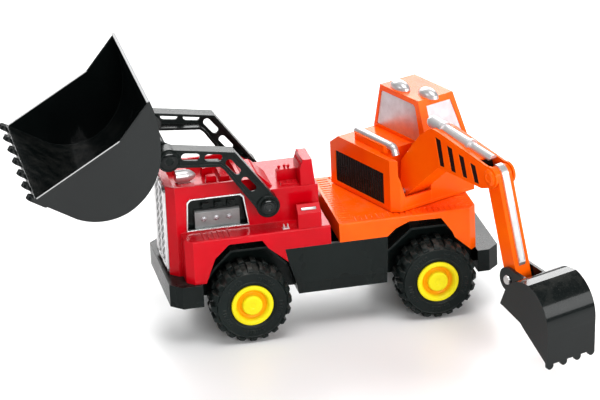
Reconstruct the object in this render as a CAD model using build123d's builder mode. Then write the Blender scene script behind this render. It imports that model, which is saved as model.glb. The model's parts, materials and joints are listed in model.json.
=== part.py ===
from build123d import *
import os
from math import atan2, cos, degrees, hypot, radians, sin

# Toy backhoe loader.  +X forward (loader bucket end), +Y the vehicle's left, +Z up, millimetres.
# The origin is the middle of the chassis's flat underside, midway between the axles.

os.makedirs("parts", exist_ok=True)


def save(piece, node):
    """Label a finished piece and write its STEP file."""
    piece.part.label = node
    export_step(piece.part, f"parts/{node}.step")


# ---------------------------------------------------------------- driving dimensions

WALL = 2.0                      # wall of the moulded shells
RUN_FIT = 0.05                  # radial clearance of a shaft that turns in its bore
MOVE_GAP = 0.6                  # gap between faces that slide past each other

WHEELBASE = 129.7
AXLE_Z = 1.0
TYRE_R = 28.0
TYRE_W = 24.0
TYRE_OUTER_Y = 54.3             # outer face of a tyre
RIM_R = 14.7
HUB_R = 7.0
AXLE_R = 2.0
LUGS = 24

CHASSIS_HALF = 43.0             # half width over the side panels
PAN_HALF = 26.0                 # half width where the pan passes between the wheels
CHASSIS_TOP = 34.5
BUMPER_HALF = 45.5
BUMPER_TOP = 16.6
BUMPER_BOTTOM = 0.8
FRONT_BUMPER_DEPTH = 22.0
REAR_BUMPER_DEPTH = 16.0
BUMPER_CHAMFER = 7.8
FRONT_X = 118.5                 # front face of the front bumper
REAR_X = -111.4                 # rear face of the rear bumper
PANEL_FRONT_X = 38.5
PANEL_REAR_X = -33.0
LINER_TOP = 36.0
LINER_WALL = 1.6

BODY_HALF = 43.0                # half width of the red and orange bodies
BODY_CORNER = 5.0               # chamfer of their upright corners
HOOD_CORNER = 5.5
DECK_TOP = 48.0
HOOD_HALF = 26.0
HOOD_TOP = 81.7
HOOD_FRONT_X = 114.7
HOOD_TRAY_FLOOR = 74.6
HOOD_TRAY_FRONT_X = 109.5
HOOD_TRAY_REAR_X = 64.0
HOOD_SLOPE_X = 58.0             # where the hood top starts to fall towards the cab floor
CAB_FLOOR_TOP = 72.3
CAB_FLOOR_FRONT_X = 46.0
CAB_FLOOR_REAR_X = 10.5
FENDER_FRONT_X = 106.5
RED_REAR_X = 6.4

ARM_PIVOT = (48.3, 66.7)        # loader arm hinge, x and z
BUCKET_PIVOT = (114.1, 108.1)   # loader bucket hinge, x and z
ARM_INNER = 30.0                # open inner side of an arm's channel
ARM_DEPTH = 11.0                # depth of the channel
ARM_RECESS = 0.8                # how far the web lies behind the outer rim
ARM_WALL = 1.7
ARM_BOSS_R = 8.0
ARM_PIN_R = 3.0
BUCKET_HALF = 69.6
BUCKET_WALL = 2.2
BUCKET_TEETH = 7

TURN_X = -47.5                  # turret pivot
SWING = 112.4                   # heading of the boom at rest, degrees from +X
TURRET_BOTTOM = 48.7
TURRET_TOP = 86.0
TURRET_REAR_U = -42.0
TURRET_FRONT_U = 33.0
TURRET_LEFT_V = -22.0
TURRET_RIGHT_V = 46.0
TURRET_FLOOR = 2.0
TURRET_POST_R = 6.0

CAB_LEFT_V = 9.5
CAB_TOP = 119.0

BOOM_PIVOT = (24.5, 59.5)       # boom hinge in the turret's own u and z
BOOM_HALF = 8.0
BOOM_WALL = 1.6
BOOM_FOOT_R = 4.2
BOOM_PIN_R = 2.0
ELBOW = (121.0, 99.5)
ELBOW_R = 7.5
ELBOW_PIN_R = 2.5
STICK_HALF = 6.0
HOE_PIVOT = (140.0, 32.8)
HOE_PIN_R = 2.2
HOE_HALF = 20.0
HOE_WALL = 2.0
HOE_EAR_R = 8.6
HOE_EAR_INNER = STICK_HALF + 1.0
HOE_EAR_WALL = 2.2
HOE_TEETH = 4

# ---------------------------------------------------------------- planes of the turret

TURN = radians(SWING)


def turret_point(u, v, z):
    """A point given along the boom (u), across it (v) and up (z)."""
    return (TURN_X + u * cos(TURN) - v * sin(TURN), u * sin(TURN) + v * cos(TURN), z)


def turret_plan(z):
    """Horizontal sketch plane whose x is u and whose y is v."""
    return Plane(origin=turret_point(0, 0, z), x_dir=(cos(TURN), sin(TURN), 0), z_dir=(0, 0, 1))


def boom_side(v):
    """Upright sketch plane whose x is u and whose y is z; a positive extrusion goes to -v."""
    return Plane(
        origin=turret_point(0, v, 0),
        x_dir=(cos(TURN), sin(TURN), 0),
        z_dir=(sin(TURN), -cos(TURN), 0),
    )


def boom_front(u):
    """Upright sketch plane facing along the boom, whose x is v and whose y is z."""
    return Plane(
        origin=turret_point(u, 0, 0),
        x_dir=(-sin(TURN), cos(TURN), 0),
        z_dir=(cos(TURN), sin(TURN), 0),
    )


def side_plane(y):
    """Upright sketch plane whose x is x and whose y is z; a positive extrusion goes to -y."""
    return Plane(origin=(0, y, 0), x_dir=(1, 0, 0), z_dir=(0, -1, 0))


# ---------------------------------------------------------------- wheels

LUG_H = 2.4
LUG_W = 3.6
CARCASS_R = TYRE_R - LUG_H
SHOULDER_R = 21.5
HUB_PROUD = 0.4
TYRE_INNER_Y = TYRE_OUTER_Y - TYRE_W
TRACK_Y = TYRE_OUTER_Y - TYRE_W / 2
LUG_STEP = 360 / LUGS


def wheel_plane(axle_x, side, y):
    """Plane across an axle at distance y from the centre, facing outwards on that side."""
    return Plane(origin=(axle_x, side * y, AXLE_Z), x_dir=(side, 0, 0), z_dir=(0, side, 0))


def make_tyre(node, axle_x, side):
    """A knobbly tyre: smooth carcass plus a ring of lugs on each shoulder."""
    half = TYRE_W / 2
    section = Plane(
        origin=(axle_x, side * TRACK_Y, AXLE_Z), x_dir=(0, side, 0), z_dir=(side, 0, 0)
    )
    across = wheel_plane(axle_x, side, TRACK_Y)
    with BuildPart() as tyre:
        with BuildSketch(section):
            with BuildLine():
                Polyline(
                    (half - 1.2, RIM_R),
                    (-half + 1.2, RIM_R),
                    (-half, RIM_R + 2.5),
                    (-half, SHOULDER_R),
                    (-half + 3.0, CARCASS_R),
                    (half - 3.0, CARCASS_R),
                    (half, SHOULDER_R),
                    (half, RIM_R + 2.5),
                    close=True,
                )
            make_face()
        revolve(axis=Axis(across.origin, across.z_dir))
        for row, phase in ((-1, 0.0), (1, 0.5)):
            with BuildSketch(across.offset(half - 0.6 if row > 0 else -half + 0.6)):
                with PolarLocations(0, LUGS, start_angle=phase * LUG_STEP):
                    with Locations(((SHOULDER_R + TYRE_R) / 2, 0)):
                        Rectangle(TYRE_R - SHOULDER_R, LUG_W)
            extrude(amount=-row * (half - 1.0))
        with BuildSketch(section):
            with BuildLine():
                Polyline(
                    (half + 1, TYRE_R - 4.5),
                    (half - 4.5, TYRE_R),
                    (half - 4.5, TYRE_R + 4),
                    (half + 4, TYRE_R + 4),
                    (half + 4, TYRE_R - 4.5),
                    close=True,
                )
            make_face()
            mirror(about=Plane.YZ)
        revolve(axis=Axis(across.origin, across.z_dir), mode=Mode.SUBTRACT)
    save(tyre, node)


def make_rim(node, axle_x, side):
    """A dished plastic rim with a raised hub, pressed on the axle."""
    section = Plane(origin=(axle_x, 0, AXLE_Z), x_dir=(0, side, 0), z_dir=(side, 0, 0))
    face = TYRE_OUTER_Y + HUB_PROUD
    across = wheel_plane(axle_x, side, 0)
    with BuildPart() as rim:
        with BuildSketch(section):
            with BuildLine():
                Polyline(
                    (TYRE_INNER_Y + 1.5, AXLE_R),
                    (TYRE_INNER_Y + 1.5, HUB_R),
                    (face - 6.0, HUB_R),
                    (face - 6.0, RIM_R - 2.2),
                    (TYRE_INNER_Y + 1.5, RIM_R - 2.2),
                    (TYRE_INNER_Y + 1.5, RIM_R),
                    (face - 1.0, RIM_R),
                    (face, RIM_R - 0.8),
                    (face, RIM_R - 2.6),
                    (face - 3.8, RIM_R - 4.4),
                    (face - 3.8, HUB_R + 1.4),
                    (face - 0.8, HUB_R),
                    (face, HUB_R - 1.4),
                    (face, 0),
                    (face - 3.0, 0),
                    (face - 3.0, AXLE_R),
                    close=True,
                )
            make_face()
        revolve(axis=Axis(across.origin, across.z_dir))
    save(rim, node)


for end, axle_x in (("front", WHEELBASE / 2), ("rear", -WHEELBASE / 2)):
    with BuildPart() as axle:
        with BuildSketch(side_plane(0)):
            with Locations((axle_x, AXLE_Z)):
                Circle(AXLE_R)
        extrude(amount=TYRE_OUTER_Y + HUB_PROUD - 3.0, both=True)
    save(axle, f"{end}_axle")
    for hand, side in (("left", 1), ("right", -1)):
        make_tyre(f"{end}_{hand}_tyre", axle_x, side)
        make_rim(f"{end}_{hand}_rim", axle_x, side)

# ---------------------------------------------------------------- chassis

BEARING_Y = (14.0, PAN_HALF - 1.0)
BEARING_R = AXLE_R + 4.0
PAN_FLOOR = 2.5
BELLY_HALF = 53.0               # half length of the flat belly, between the axle retainers
BELLY_STEP = 0.4                # how far the pan steps up beyond the belly
SKIRT_STEP = 8.4
SKIRT_INSET = 1.2
SCREW_R = 1.5
SCREW_HEAD_R = 2.8
SCREW_HEAD_H = 1.4
RETAINER_WALL = 2.0
RETAINER_HALF = 9.0             # half length of a retainer along the vehicle
RETAINER_SCREWS = ((-5.6, 9.0), (5.6, -9.0))
ARCH_FOOT = (36.5, 25.0)        # where an arch meets the side panel, x and z
CHASSIS_FRONT_X = FRONT_X - FRONT_BUMPER_DEPTH + 4
CHASSIS_REAR_X = -93.4          # the tall part of the pan ends inside the rear deck


def liner_line(side_x):
    """Centre line of a wheel arch liner; side_x is 1 at the front and -1 at the rear."""
    x0 = abs(PANEL_REAR_X) if side_x < 0 else ARCH_FOOT[0]
    points = ((x0 + 0.8, 22.0), (50.5, LINER_TOP), (75.5, LINER_TOP), (86.0, 26.0), (92.2, 18.2))
    Polyline(*[(side_x * x, z) for x, z in points])


with BuildPart() as chassis:
    with BuildSketch(Plane.XY):
        with Locations(((CHASSIS_FRONT_X + CHASSIS_REAR_X) / 2, 0)):
            Rectangle(CHASSIS_FRONT_X - CHASSIS_REAR_X, 2 * PAN_HALF)
    extrude(amount=CHASSIS_TOP)
    with BuildSketch(side_plane(0)):
        with BuildLine():
            Polyline(
                (PANEL_REAR_X + 1.0, 0),
                (PANEL_REAR_X, 24.0),
                (PANEL_REAR_X, CHASSIS_TOP),
                (PANEL_FRONT_X, CHASSIS_TOP),
                ARCH_FOOT,
                (31.5, SKIRT_STEP),
                (30.0, 0),
                close=True,
            )
        make_face()
    extrude(amount=CHASSIS_HALF, both=True)
    for side in (1, -1):
        with BuildSketch(Plane.XY):
            with Locations((0, side * CHASSIS_HALF)):
                Rectangle(2 * FRONT_X, 2 * SKIRT_INSET)
        extrude(amount=SKIRT_STEP, mode=Mode.SUBTRACT)
    with BuildSketch(Plane.XY.offset(PAN_FLOOR)):
        with Locations(((PANEL_REAR_X + 30) / 2, 0)):
            Rectangle(30 - PANEL_REAR_X - 2 * WALL - 2, 2 * (CHASSIS_HALF - SKIRT_INSET - WALL))
        with Locations(((CHASSIS_FRONT_X + CHASSIS_REAR_X) / 2, 0)):
            Rectangle(CHASSIS_FRONT_X - CHASSIS_REAR_X - 2 * WALL, 2 * (PAN_HALF - WALL))
    extrude(amount=CHASSIS_TOP, mode=Mode.SUBTRACT)
    with BuildSketch(Plane.XY.offset(BUMPER_BOTTOM)):
        with Locations((REAR_X + REAR_BUMPER_DEPTH, 0)):
            Rectangle(2 * (CHASSIS_REAR_X - REAR_X - REAR_BUMPER_DEPTH), 2 * PAN_HALF)
    extrude(amount=BUMPER_TOP - BUMPER_BOTTOM)
    for bumper_x, depth, end in ((FRONT_X, FRONT_BUMPER_DEPTH, -1), (REAR_X, REAR_BUMPER_DEPTH, 0)):
        inwards = -1 if end else 1
        with BuildSketch(Plane.XY.offset(BUMPER_BOTTOM)):
            with Locations((bumper_x + inwards * depth / 2, 0)):
                Rectangle(depth, 2 * BUMPER_HALF)
            chamfer(vertices().group_by(Axis.X)[end], BUMPER_CHAMFER)
        extrude(amount=BUMPER_TOP - BUMPER_BOTTOM)
    for side_x in (1, -1):
        for side in (1, -1):
            with BuildSketch(side_plane(side * (PAN_HALF - 1.0))):
                with BuildLine() as line:
                    liner_line(side_x)
                trace(line.edges(), LINER_WALL)
            extrude(amount=-side * (CHASSIS_HALF - WALL - 1.0 - PAN_HALF))
    for axle_x in (WHEELBASE / 2, -WHEELBASE / 2):
        for side in (1, -1):
            with BuildSketch(side_plane(side * BEARING_Y[0])):
                with Locations((axle_x, AXLE_Z)):
                    Circle(BEARING_R)
            extrude(amount=-side * (BEARING_Y[1] - BEARING_Y[0]))
        with BuildSketch(side_plane(0)):
            with Locations((axle_x, AXLE_Z)):
                Circle(AXLE_R + RUN_FIT)
        extrude(amount=CHASSIS_HALF, both=True, mode=Mode.SUBTRACT)
        with BuildSketch(Plane.XY):
            for x, y in RETAINER_SCREWS:
                with Locations((axle_x + x, y)):
                    Circle(SCREW_R)
        extrude(amount=PAN_FLOOR, mode=Mode.SUBTRACT)
    with BuildSketch(Plane.XY):
        for side_x in (1, -1):
            with Locations((side_x * (BELLY_HALF + FRONT_X / 2), 0)):
                Rectangle(FRONT_X, 2 * BEARING_Y[0])
            for side in (1, -1):
                with Locations((side_x * (BELLY_HALF + FRONT_X / 2), side * (BEARING_Y[0] + PAN_HALF / 2))):
                    Rectangle(FRONT_X, PAN_HALF)
        for axle_x in (WHEELBASE / 2, -WHEELBASE / 2):
            for side in (1, -1):
                with Locations((axle_x, side * sum(BEARING_Y) / 2)):
                    Rectangle(2 * BEARING_R, BEARING_Y[1] - BEARING_Y[0], mode=Mode.SUBTRACT)
    extrude(amount=BELLY_STEP, mode=Mode.SUBTRACT)
save(chassis, "chassis")

RETAINER_BOTTOM = AXLE_Z - AXLE_R - RUN_FIT - RETAINER_WALL

for end, axle_x in (("front", WHEELBASE / 2), ("rear", -WHEELBASE / 2)):
    with BuildPart() as retainer:
        with BuildSketch(Plane.XY.offset(RETAINER_BOTTOM)):
            with Locations((axle_x, 0)):
                Rectangle(2 * RETAINER_HALF, 2 * BEARING_Y[0] - 1.0)
            fillet(vertices(), 2.0)
        extrude(amount=BELLY_STEP - RETAINER_BOTTOM)
        with BuildSketch(side_plane(0)):
            with Locations((axle_x, AXLE_Z)):
                Circle(AXLE_R + RUN_FIT)
        extrude(amount=BEARING_Y[0], both=True, mode=Mode.SUBTRACT)
        for x, y in RETAINER_SCREWS:
            with Locations((axle_x + x, y, BELLY_STEP)):
                Hole(SCREW_R, depth=BELLY_STEP - RETAINER_BOTTOM)
    save(retainer, f"{end}_axle_retainer")

with BuildPart() as screws:
    for axle_x in (WHEELBASE / 2, -WHEELBASE / 2):
        for x, y in RETAINER_SCREWS:
            for radius, depth in ((SCREW_HEAD_R, -SCREW_HEAD_H), (SCREW_R, PAN_FLOOR - RETAINER_BOTTOM)):
                with BuildSketch(Plane.XY.offset(RETAINER_BOTTOM)):
                    with Locations((axle_x + x, y)):
                        Circle(radius)
                extrude(amount=depth)
save(screws, "retainer_screws")

# ---------------------------------------------------------------- red front body


# Edge of each wheel arch from the bumper end to the side panel, x and z.
FRONT_ARCH = (
    (93.5, BUMPER_TOP),
    (90.0, 26.0),
    (86.7, 34.0),
    (77.0, 43.0),
    (54.0, 43.0),
    (50.0, 37.0),
    ARCH_FOOT,
)
REAR_ARCH = (
    (-92.0, BUMPER_TOP),
    (-80.3, 27.6),
    (-78.3, 32.3),
    (-70.8, 43.2),
    (-48.3, 43.7),
    (-39.0, 39.8),
    (PANEL_REAR_X, CHASSIS_TOP),
)


TRAY_HALF = HOOD_HALF - WALL
WINDOW_X = (60.0, 101.6)
WINDOW_Z = (DECK_TOP + 1.6, 71.4)
WINDOW_FRAME = 0.9
WINDOW_RAKE = 3.0               # how far the window's ends lean in at the top
STEP_RIBS = 6
STEP_RIB_X = 93.0
STEP_RIB_PITCH = 3.6
ENGINE_X = (65.0, 96.0)
ENGINE_Z = (DECK_TOP + 0.4, 61.6)
ENGINE_BOLT_X = 89.8
ENGINE_BOLT_PITCH = 8.7
ENGINE_BOLT_Z = 55.6
GRILLE_HALF = 20.3
GRILLE_Z = (19.0, 79.0)
INTAKE_X = (89.5, 104.0)
INTAKE_R = 4.4
INTAKE_Z = HOOD_TRAY_FLOOR + INTAKE_R + 0.2
TRAY_BLOCKS = (                 # x, y, length, width, height on the tray floor
    (81.0, 8.0, 8.0, 6.0, 6.0),
    (81.0, -8.0, 8.0, 6.0, 6.0),
    (71.5, 0.0, 7.0, 22.0, 5.0),
    (98.0, 15.0, 10.0, 5.0, 4.0),
    (98.0, -15.0, 10.0, 5.0, 4.0),
)
COWL_X = (51.0, 57.5)
COWL_TOP = 82.7
COWL_Y = (-8.0, 20.0)
COWL_FOOT_X = 40.8
SEAT_BACK_X = (12.0, 22.6)
SEAT_BACK_Y = (4.0, 25.0)
SEAT_BACK_TOP = 90.5
SEAT_BACK_EDGE = 2.4            # how far the slanted front of the seat back's top reaches, and a third of its drop
DESK_X = (SEAT_BACK_X[1], 36.0)
DESK_Y = (8.3, 12.5)
DESK_H = 8.0
LEVERS = ((34.0, 10.8), (30.0, 10.0), (27.6, 10.8))
LEVER_H = 1.6
LEVER_KNOB_R = 1.1
SIDE_BOX_X = (12.5, 28.5)
SIDE_BOX_Y = (36.4, 42.6)
SIDE_BOX_TOP = 63.6
SIDE_BOX_SHOULDER = 58.6
POST_BOSS_R = 5.5
POST_HEAD_R = 5.2
DECK_FRONT_X = 0.4
DECK_REAR_X = -96.0
DECK_SIDE_GROOVES = 20
DECK_END_GROOVES = 20
GROOVE_PITCH = 3.9
GROOVE_W = 1.4
RING_R = 20.0                   # raised ring that the turret skims over
RING_H = 0.3
POST_TOP = TURRET_BOTTOM + TURRET_FLOOR + 0.4
POST_DEPTH = 10.0               # how far the pivot post reaches below the deck's top
SWIVEL_CAP_H = 1.6
SWIVEL_SCREW_L = 11.0           # bite of the screw in the post


def window_points(grow):
    """Corners of the engine window, made larger all round by grow."""
    x0, x1 = WINDOW_X
    z0, z1 = WINDOW_Z
    return (
        (x0 - grow, z0 - grow),
        (x0 + WINDOW_RAKE - grow, z1 - 2.0 + grow),
        (x0 + WINDOW_RAKE + 2.0 - grow, z1 + grow),
        (x1 - 3.0 + grow, z1 + grow),
        (x1 - 1.0 + grow, z1 - 2.0 + grow),
        (x1 + grow, z0 - grow),
    )


with BuildPart() as front_body:
    with BuildSketch(side_plane(0)):
        with BuildLine():
            Polyline(
                (RED_REAR_X, CHASSIS_TOP),
                (RED_REAR_X, DECK_TOP),
                (FENDER_FRONT_X, DECK_TOP),
                (FENDER_FRONT_X, BUMPER_TOP),
                *FRONT_ARCH,
                (PANEL_FRONT_X, CHASSIS_TOP),
                close=True,
            )
        make_face()
    extrude(amount=BODY_HALF, both=True)
    chamfer(edges().filter_by(Axis.Z).group_by(Axis.X)[-1], BODY_CORNER)
    fillet(edges().filter_by(Axis.X).group_by(Axis.Z)[-1], 1.2)
    with BuildSketch(Plane.XY.offset(BUMPER_TOP - 1)):
        with Locations(((RED_REAR_X + FENDER_FRONT_X) / 2, 0)):
            Rectangle(FENDER_FRONT_X - RED_REAR_X - 2 * WALL, 2 * (BODY_HALF - WALL))
        chamfer(vertices().group_by(Axis.X)[-1], BODY_CORNER)
    extrude(amount=DECK_TOP - WALL - BUMPER_TOP + 1, mode=Mode.SUBTRACT)
    with BuildSketch(side_plane(0)):
        with BuildLine():
            Polyline(
                (CAB_FLOOR_REAR_X, DECK_TOP - WALL),
                (CAB_FLOOR_REAR_X, CAB_FLOOR_TOP),
                (CAB_FLOOR_FRONT_X, CAB_FLOOR_TOP),
                (HOOD_SLOPE_X, HOOD_TOP),
                (HOOD_FRONT_X, HOOD_TOP),
                (HOOD_FRONT_X, BUMPER_TOP),
                (CHASSIS_FRONT_X + 1, BUMPER_TOP),
                (CHASSIS_FRONT_X + 1, DECK_TOP - WALL),
                close=True,
            )
        make_face()
    extrude(amount=HOOD_HALF, both=True)
    chamfer(edges().filter_by(Axis.Z).group_by(Axis.X)[-1], HOOD_CORNER)
    with BuildSketch(side_plane(0)):
        with BuildLine():
            Polyline(
                (CAB_FLOOR_REAR_X + WALL, BUMPER_TOP - 1),
                (CAB_FLOOR_REAR_X + WALL, CAB_FLOOR_TOP - WALL),
                (CAB_FLOOR_FRONT_X, CAB_FLOOR_TOP - WALL),
                (HOOD_TRAY_REAR_X - WALL, HOOD_TRAY_FLOOR - WALL),
                (HOOD_FRONT_X - WALL - HOOD_CORNER / 2, HOOD_TRAY_FLOOR - WALL),
                (HOOD_FRONT_X - WALL - HOOD_CORNER / 2, BUMPER_TOP - 1),
                close=True,
            )
        make_face()
    extrude(amount=HOOD_HALF - WALL, both=True, mode=Mode.SUBTRACT)
    with BuildSketch(Plane.XY.offset(HOOD_TRAY_FLOOR)):
        with Locations(((HOOD_TRAY_FRONT_X + HOOD_TRAY_REAR_X) / 2, 0)):
            Rectangle(HOOD_TRAY_FRONT_X - HOOD_TRAY_REAR_X, 2 * TRAY_HALF)
    extrude(amount=HOOD_TOP, mode=Mode.SUBTRACT)
    with BuildSketch(side_plane(0)):
        Polygon(*window_points(WINDOW_FRAME), align=None)
    extrude(amount=HOOD_HALF + 1, both=True, mode=Mode.SUBTRACT)
    for side in (1, -1):
        with BuildSketch(Plane.XY.offset(DECK_TOP)):
            for i in range(STEP_RIBS):
                with Locations((STEP_RIB_X - i * STEP_RIB_PITCH, side * (HOOD_HALF + BODY_HALF) / 2)):
                    Rectangle(1.2, BODY_HALF - HOOD_HALF - 4.0)
        extrude(amount=0.5)
save(front_body, "front_body")

for hand, side in (("left", 1), ("right", -1)):
    with BuildPart() as window_frame:
        with BuildSketch(side_plane(side * (HOOD_HALF - WALL))):
            Polygon(*window_points(WINDOW_FRAME), align=None)
            Polygon(*window_points(0), align=None, mode=Mode.SUBTRACT)
        extrude(amount=-side * (WALL + 0.6))
    save(window_frame, f"engine_window_frame_{hand}")

with BuildPart() as engine_block:
    with BuildSketch(side_plane(0)):
        with Locations(((ENGINE_X[0] + ENGINE_X[1]) / 2, (ENGINE_Z[0] + ENGINE_Z[1]) / 2)):
            Rectangle(ENGINE_X[1] - ENGINE_X[0], ENGINE_Z[1] - ENGINE_Z[0])
    extrude(amount=HOOD_HALF - WALL - 0.6, both=True)
    chamfer(edges().filter_by(Axis.X).group_by(Axis.Z)[-1], 1.0)
    offset(amount=-WALL, openings=faces().sort_by(Axis.Z)[0])
save(engine_block, "engine_block")

with BuildPart() as engine_bolts:
    for side in (1, -1):
        for i in range(3):
            with BuildSketch(side_plane(side * (HOOD_HALF - WALL - 0.6))):
                with Locations((ENGINE_BOLT_X - i * ENGINE_BOLT_PITCH, ENGINE_BOLT_Z)):
                    Circle(1.7)
            extrude(amount=-side * 0.8, taper=20)
save(engine_bolts, "engine_bolts")

with BuildPart() as manifold:
    with BuildSketch(side_plane(0)):
        with BuildLine():
            Polyline(
                (WINDOW_X[0] - 1, ENGINE_Z[0]),
                (WINDOW_X[0] - 1, WINDOW_Z[1] - 0.6),
                (WINDOW_X[0] + 4, HOOD_TRAY_FLOOR - WALL),
                (WINDOW_X[1] - 1, HOOD_TRAY_FLOOR - WALL),
                (WINDOW_X[1] - 1, ENGINE_Z[0]),
                (ENGINE_X[1], ENGINE_Z[0]),
                (ENGINE_X[1], ENGINE_Z[1]),
                (ENGINE_X[0], ENGINE_Z[1]),
                (ENGINE_X[0], ENGINE_Z[0]),
                close=True,
            )
        make_face()
    extrude(amount=HOOD_HALF - WALL - 4.0, both=True)
    for side in (1, -1):
        with BuildSketch(side_plane(side * (HOOD_HALF - WALL - 4.0))):
            for i in range(3):
                with Locations((ENGINE_BOLT_X - 2 - i * ENGINE_BOLT_PITCH, ENGINE_Z[1] + 3.0)):
                    Rectangle(5.5, 4.0)
            fillet(vertices(), 1.0)
        extrude(amount=-side * 2.6)
save(manifold, "engine_manifold")

with BuildPart() as grille:
    with BuildSketch(Plane.YZ.offset(HOOD_FRONT_X)):
        with Locations((0, (GRILLE_Z[0] + GRILLE_Z[1]) / 2)):
            Rectangle(2 * GRILLE_HALF, GRILLE_Z[1] - GRILLE_Z[0])
    extrude(amount=1.4)
    with BuildSketch(Plane.YZ.offset(HOOD_FRONT_X + 0.6)):
        with Locations((0, (GRILLE_Z[0] + GRILLE_Z[1]) / 2)):
            Rectangle(2 * GRILLE_HALF - 4.4, GRILLE_Z[1] - GRILLE_Z[0] - 4.4)
    extrude(amount=1.0, mode=Mode.SUBTRACT)
save(grille, "radiator_grille")

with BuildPart() as intake:
    with BuildSketch(side_plane(0)):
        with BuildLine():
            Line((INTAKE_X[1], INTAKE_Z), (INTAKE_X[1], INTAKE_Z + INTAKE_R))
            Line((INTAKE_X[1], INTAKE_Z + INTAKE_R), (INTAKE_X[0] + 8, INTAKE_Z + INTAKE_R))
            ThreePointArc(
                (INTAKE_X[0] + 8, INTAKE_Z + INTAKE_R),
                (INTAKE_X[0] + 2.4, INTAKE_Z + 0.62 * INTAKE_R),
                (INTAKE_X[0], INTAKE_Z),
            )
            Line((INTAKE_X[0], INTAKE_Z), (INTAKE_X[1], INTAKE_Z))
        make_face()
    revolve(axis=Axis((0, 0, INTAKE_Z), (1, 0, 0)))
    with BuildSketch(Plane.XY.offset(HOOD_TRAY_FLOOR)):
        with Locations(((INTAKE_X[0] + INTAKE_X[1]) / 2 + 2, 0)):
            Rectangle(8, 5)
    extrude(amount=2.0)
save(intake, "air_intake")

with BuildPart() as tray_details:
    for x, y, length, width, height in TRAY_BLOCKS:
        with BuildSketch(Plane.XY.offset(HOOD_TRAY_FLOOR)):
            with Locations((x, y)):
                Rectangle(length, width)
            fillet(vertices(), 1.0)
        extrude(amount=height, taper=8)
save(tray_details, "engine_cover_details")

with BuildPart() as cowl:
    with BuildSketch(side_plane(COWL_Y[1])):
        with BuildLine():
            Polyline(
                (CAB_FLOOR_FRONT_X, CAB_FLOOR_TOP),
                (COWL_FOOT_X, CAB_FLOOR_TOP),
                (COWL_X[0] - 0.8, COWL_TOP - 0.8),
                (COWL_X[0] + 0.8, COWL_TOP),
                (COWL_X[1], COWL_TOP),
                (COWL_X[1] + 4.0, HOOD_TOP),
                (HOOD_SLOPE_X, HOOD_TOP),
                close=True,
            )
        make_face()
    extrude(amount=COWL_Y[1] - COWL_Y[0])
save(cowl, "cowl")

with BuildPart() as seat_back:
    with BuildSketch(side_plane(SEAT_BACK_Y[1])):
        with BuildLine():
            Polyline(
                (SEAT_BACK_X[0], CAB_FLOOR_TOP),
                (SEAT_BACK_X[0] + 1.8, SEAT_BACK_TOP),
                (SEAT_BACK_X[1] - SEAT_BACK_EDGE, SEAT_BACK_TOP),
                (SEAT_BACK_X[1], SEAT_BACK_TOP - 3 * SEAT_BACK_EDGE),
                (SEAT_BACK_X[1], CAB_FLOOR_TOP),
                close=True,
            )
        make_face()
    extrude(amount=SEAT_BACK_Y[1] - SEAT_BACK_Y[0])
    fillet(edges().filter_by(Axis.Z, tolerance=12), 1.0)
save(seat_back, "seat_back")

with BuildPart() as desk:
    with BuildSketch(Plane.XY.offset(CAB_FLOOR_TOP)):
        with Locations(((DESK_X[0] + DESK_X[1]) / 2, (DESK_Y[0] + DESK_Y[1]) / 2)):
            Rectangle(DESK_X[1] - DESK_X[0], DESK_Y[1] - DESK_Y[0])
    extrude(amount=DESK_H)
    chamfer(edges().filter_by(Axis.Y).group_by(Axis.Z)[-1].sort_by(Axis.X)[-1], 1.2)
save(desk, "control_desk")

with BuildPart() as levers:
    for x, y in LEVERS:
        with BuildSketch(Plane.XY.offset(CAB_FLOOR_TOP + DESK_H)):
            with Locations((x, y)):
                Circle(0.7)
        extrude(amount=LEVER_H)
        with Locations((x, y, CAB_FLOOR_TOP + DESK_H + LEVER_H)):
            Sphere(LEVER_KNOB_R)
save(levers, "control_levers")

with BuildPart() as seat_panel:
    with BuildSketch(Plane.XY.offset(CAB_FLOOR_TOP)):
        with Locations((sum(DESK_X) / 2, DESK_Y[1] + 6.0)):
            Rectangle(DESK_X[1] - DESK_X[0] - 2, 7.0)
        fillet(vertices(), 1.0)
    extrude(amount=1.2)
    for i in range(3):
        with BuildSketch(Plane.XY.offset(CAB_FLOOR_TOP + 1.2)):
            with Locations((DESK_X[0] + 3.5 + 4.0 * i, DESK_Y[1] + 6.0)):
                Circle(1.2)
        extrude(amount=0.8)
save(seat_panel, "switch_panel")

for hand, side in (("left", 1), ("right", -1)):
    with BuildPart() as side_box:
        with BuildSketch(Plane.YZ.offset(SIDE_BOX_X[0])):
            with BuildLine():
                Polyline(
                    (side * SIDE_BOX_Y[0], DECK_TOP),
                    (side * SIDE_BOX_Y[0], SIDE_BOX_TOP),
                    (side * (SIDE_BOX_Y[0] + 1.0), SIDE_BOX_TOP),
                    (side * SIDE_BOX_Y[1], SIDE_BOX_SHOULDER),
                    (side * SIDE_BOX_Y[1], DECK_TOP),
                    close=True,
                )
            make_face()
        extrude(amount=SIDE_BOX_X[1] - SIDE_BOX_X[0])
        slope = Plane(
            origin=(sum(SIDE_BOX_X) / 2, side * (sum(SIDE_BOX_Y) + 1.0) / 2, (SIDE_BOX_TOP + SIDE_BOX_SHOULDER) / 2),
            x_dir=(1, 0, 0),
            z_dir=(0, side * (SIDE_BOX_TOP - SIDE_BOX_SHOULDER), SIDE_BOX_Y[1] - SIDE_BOX_Y[0] - 1.0),
        )
        with BuildSketch(slope):
            SlotOverall(SIDE_BOX_X[1] - SIDE_BOX_X[0] - 5.0, 2.2)
        extrude(amount=-0.8, mode=Mode.SUBTRACT)
    save(side_box, f"side_box_{hand}")

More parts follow.
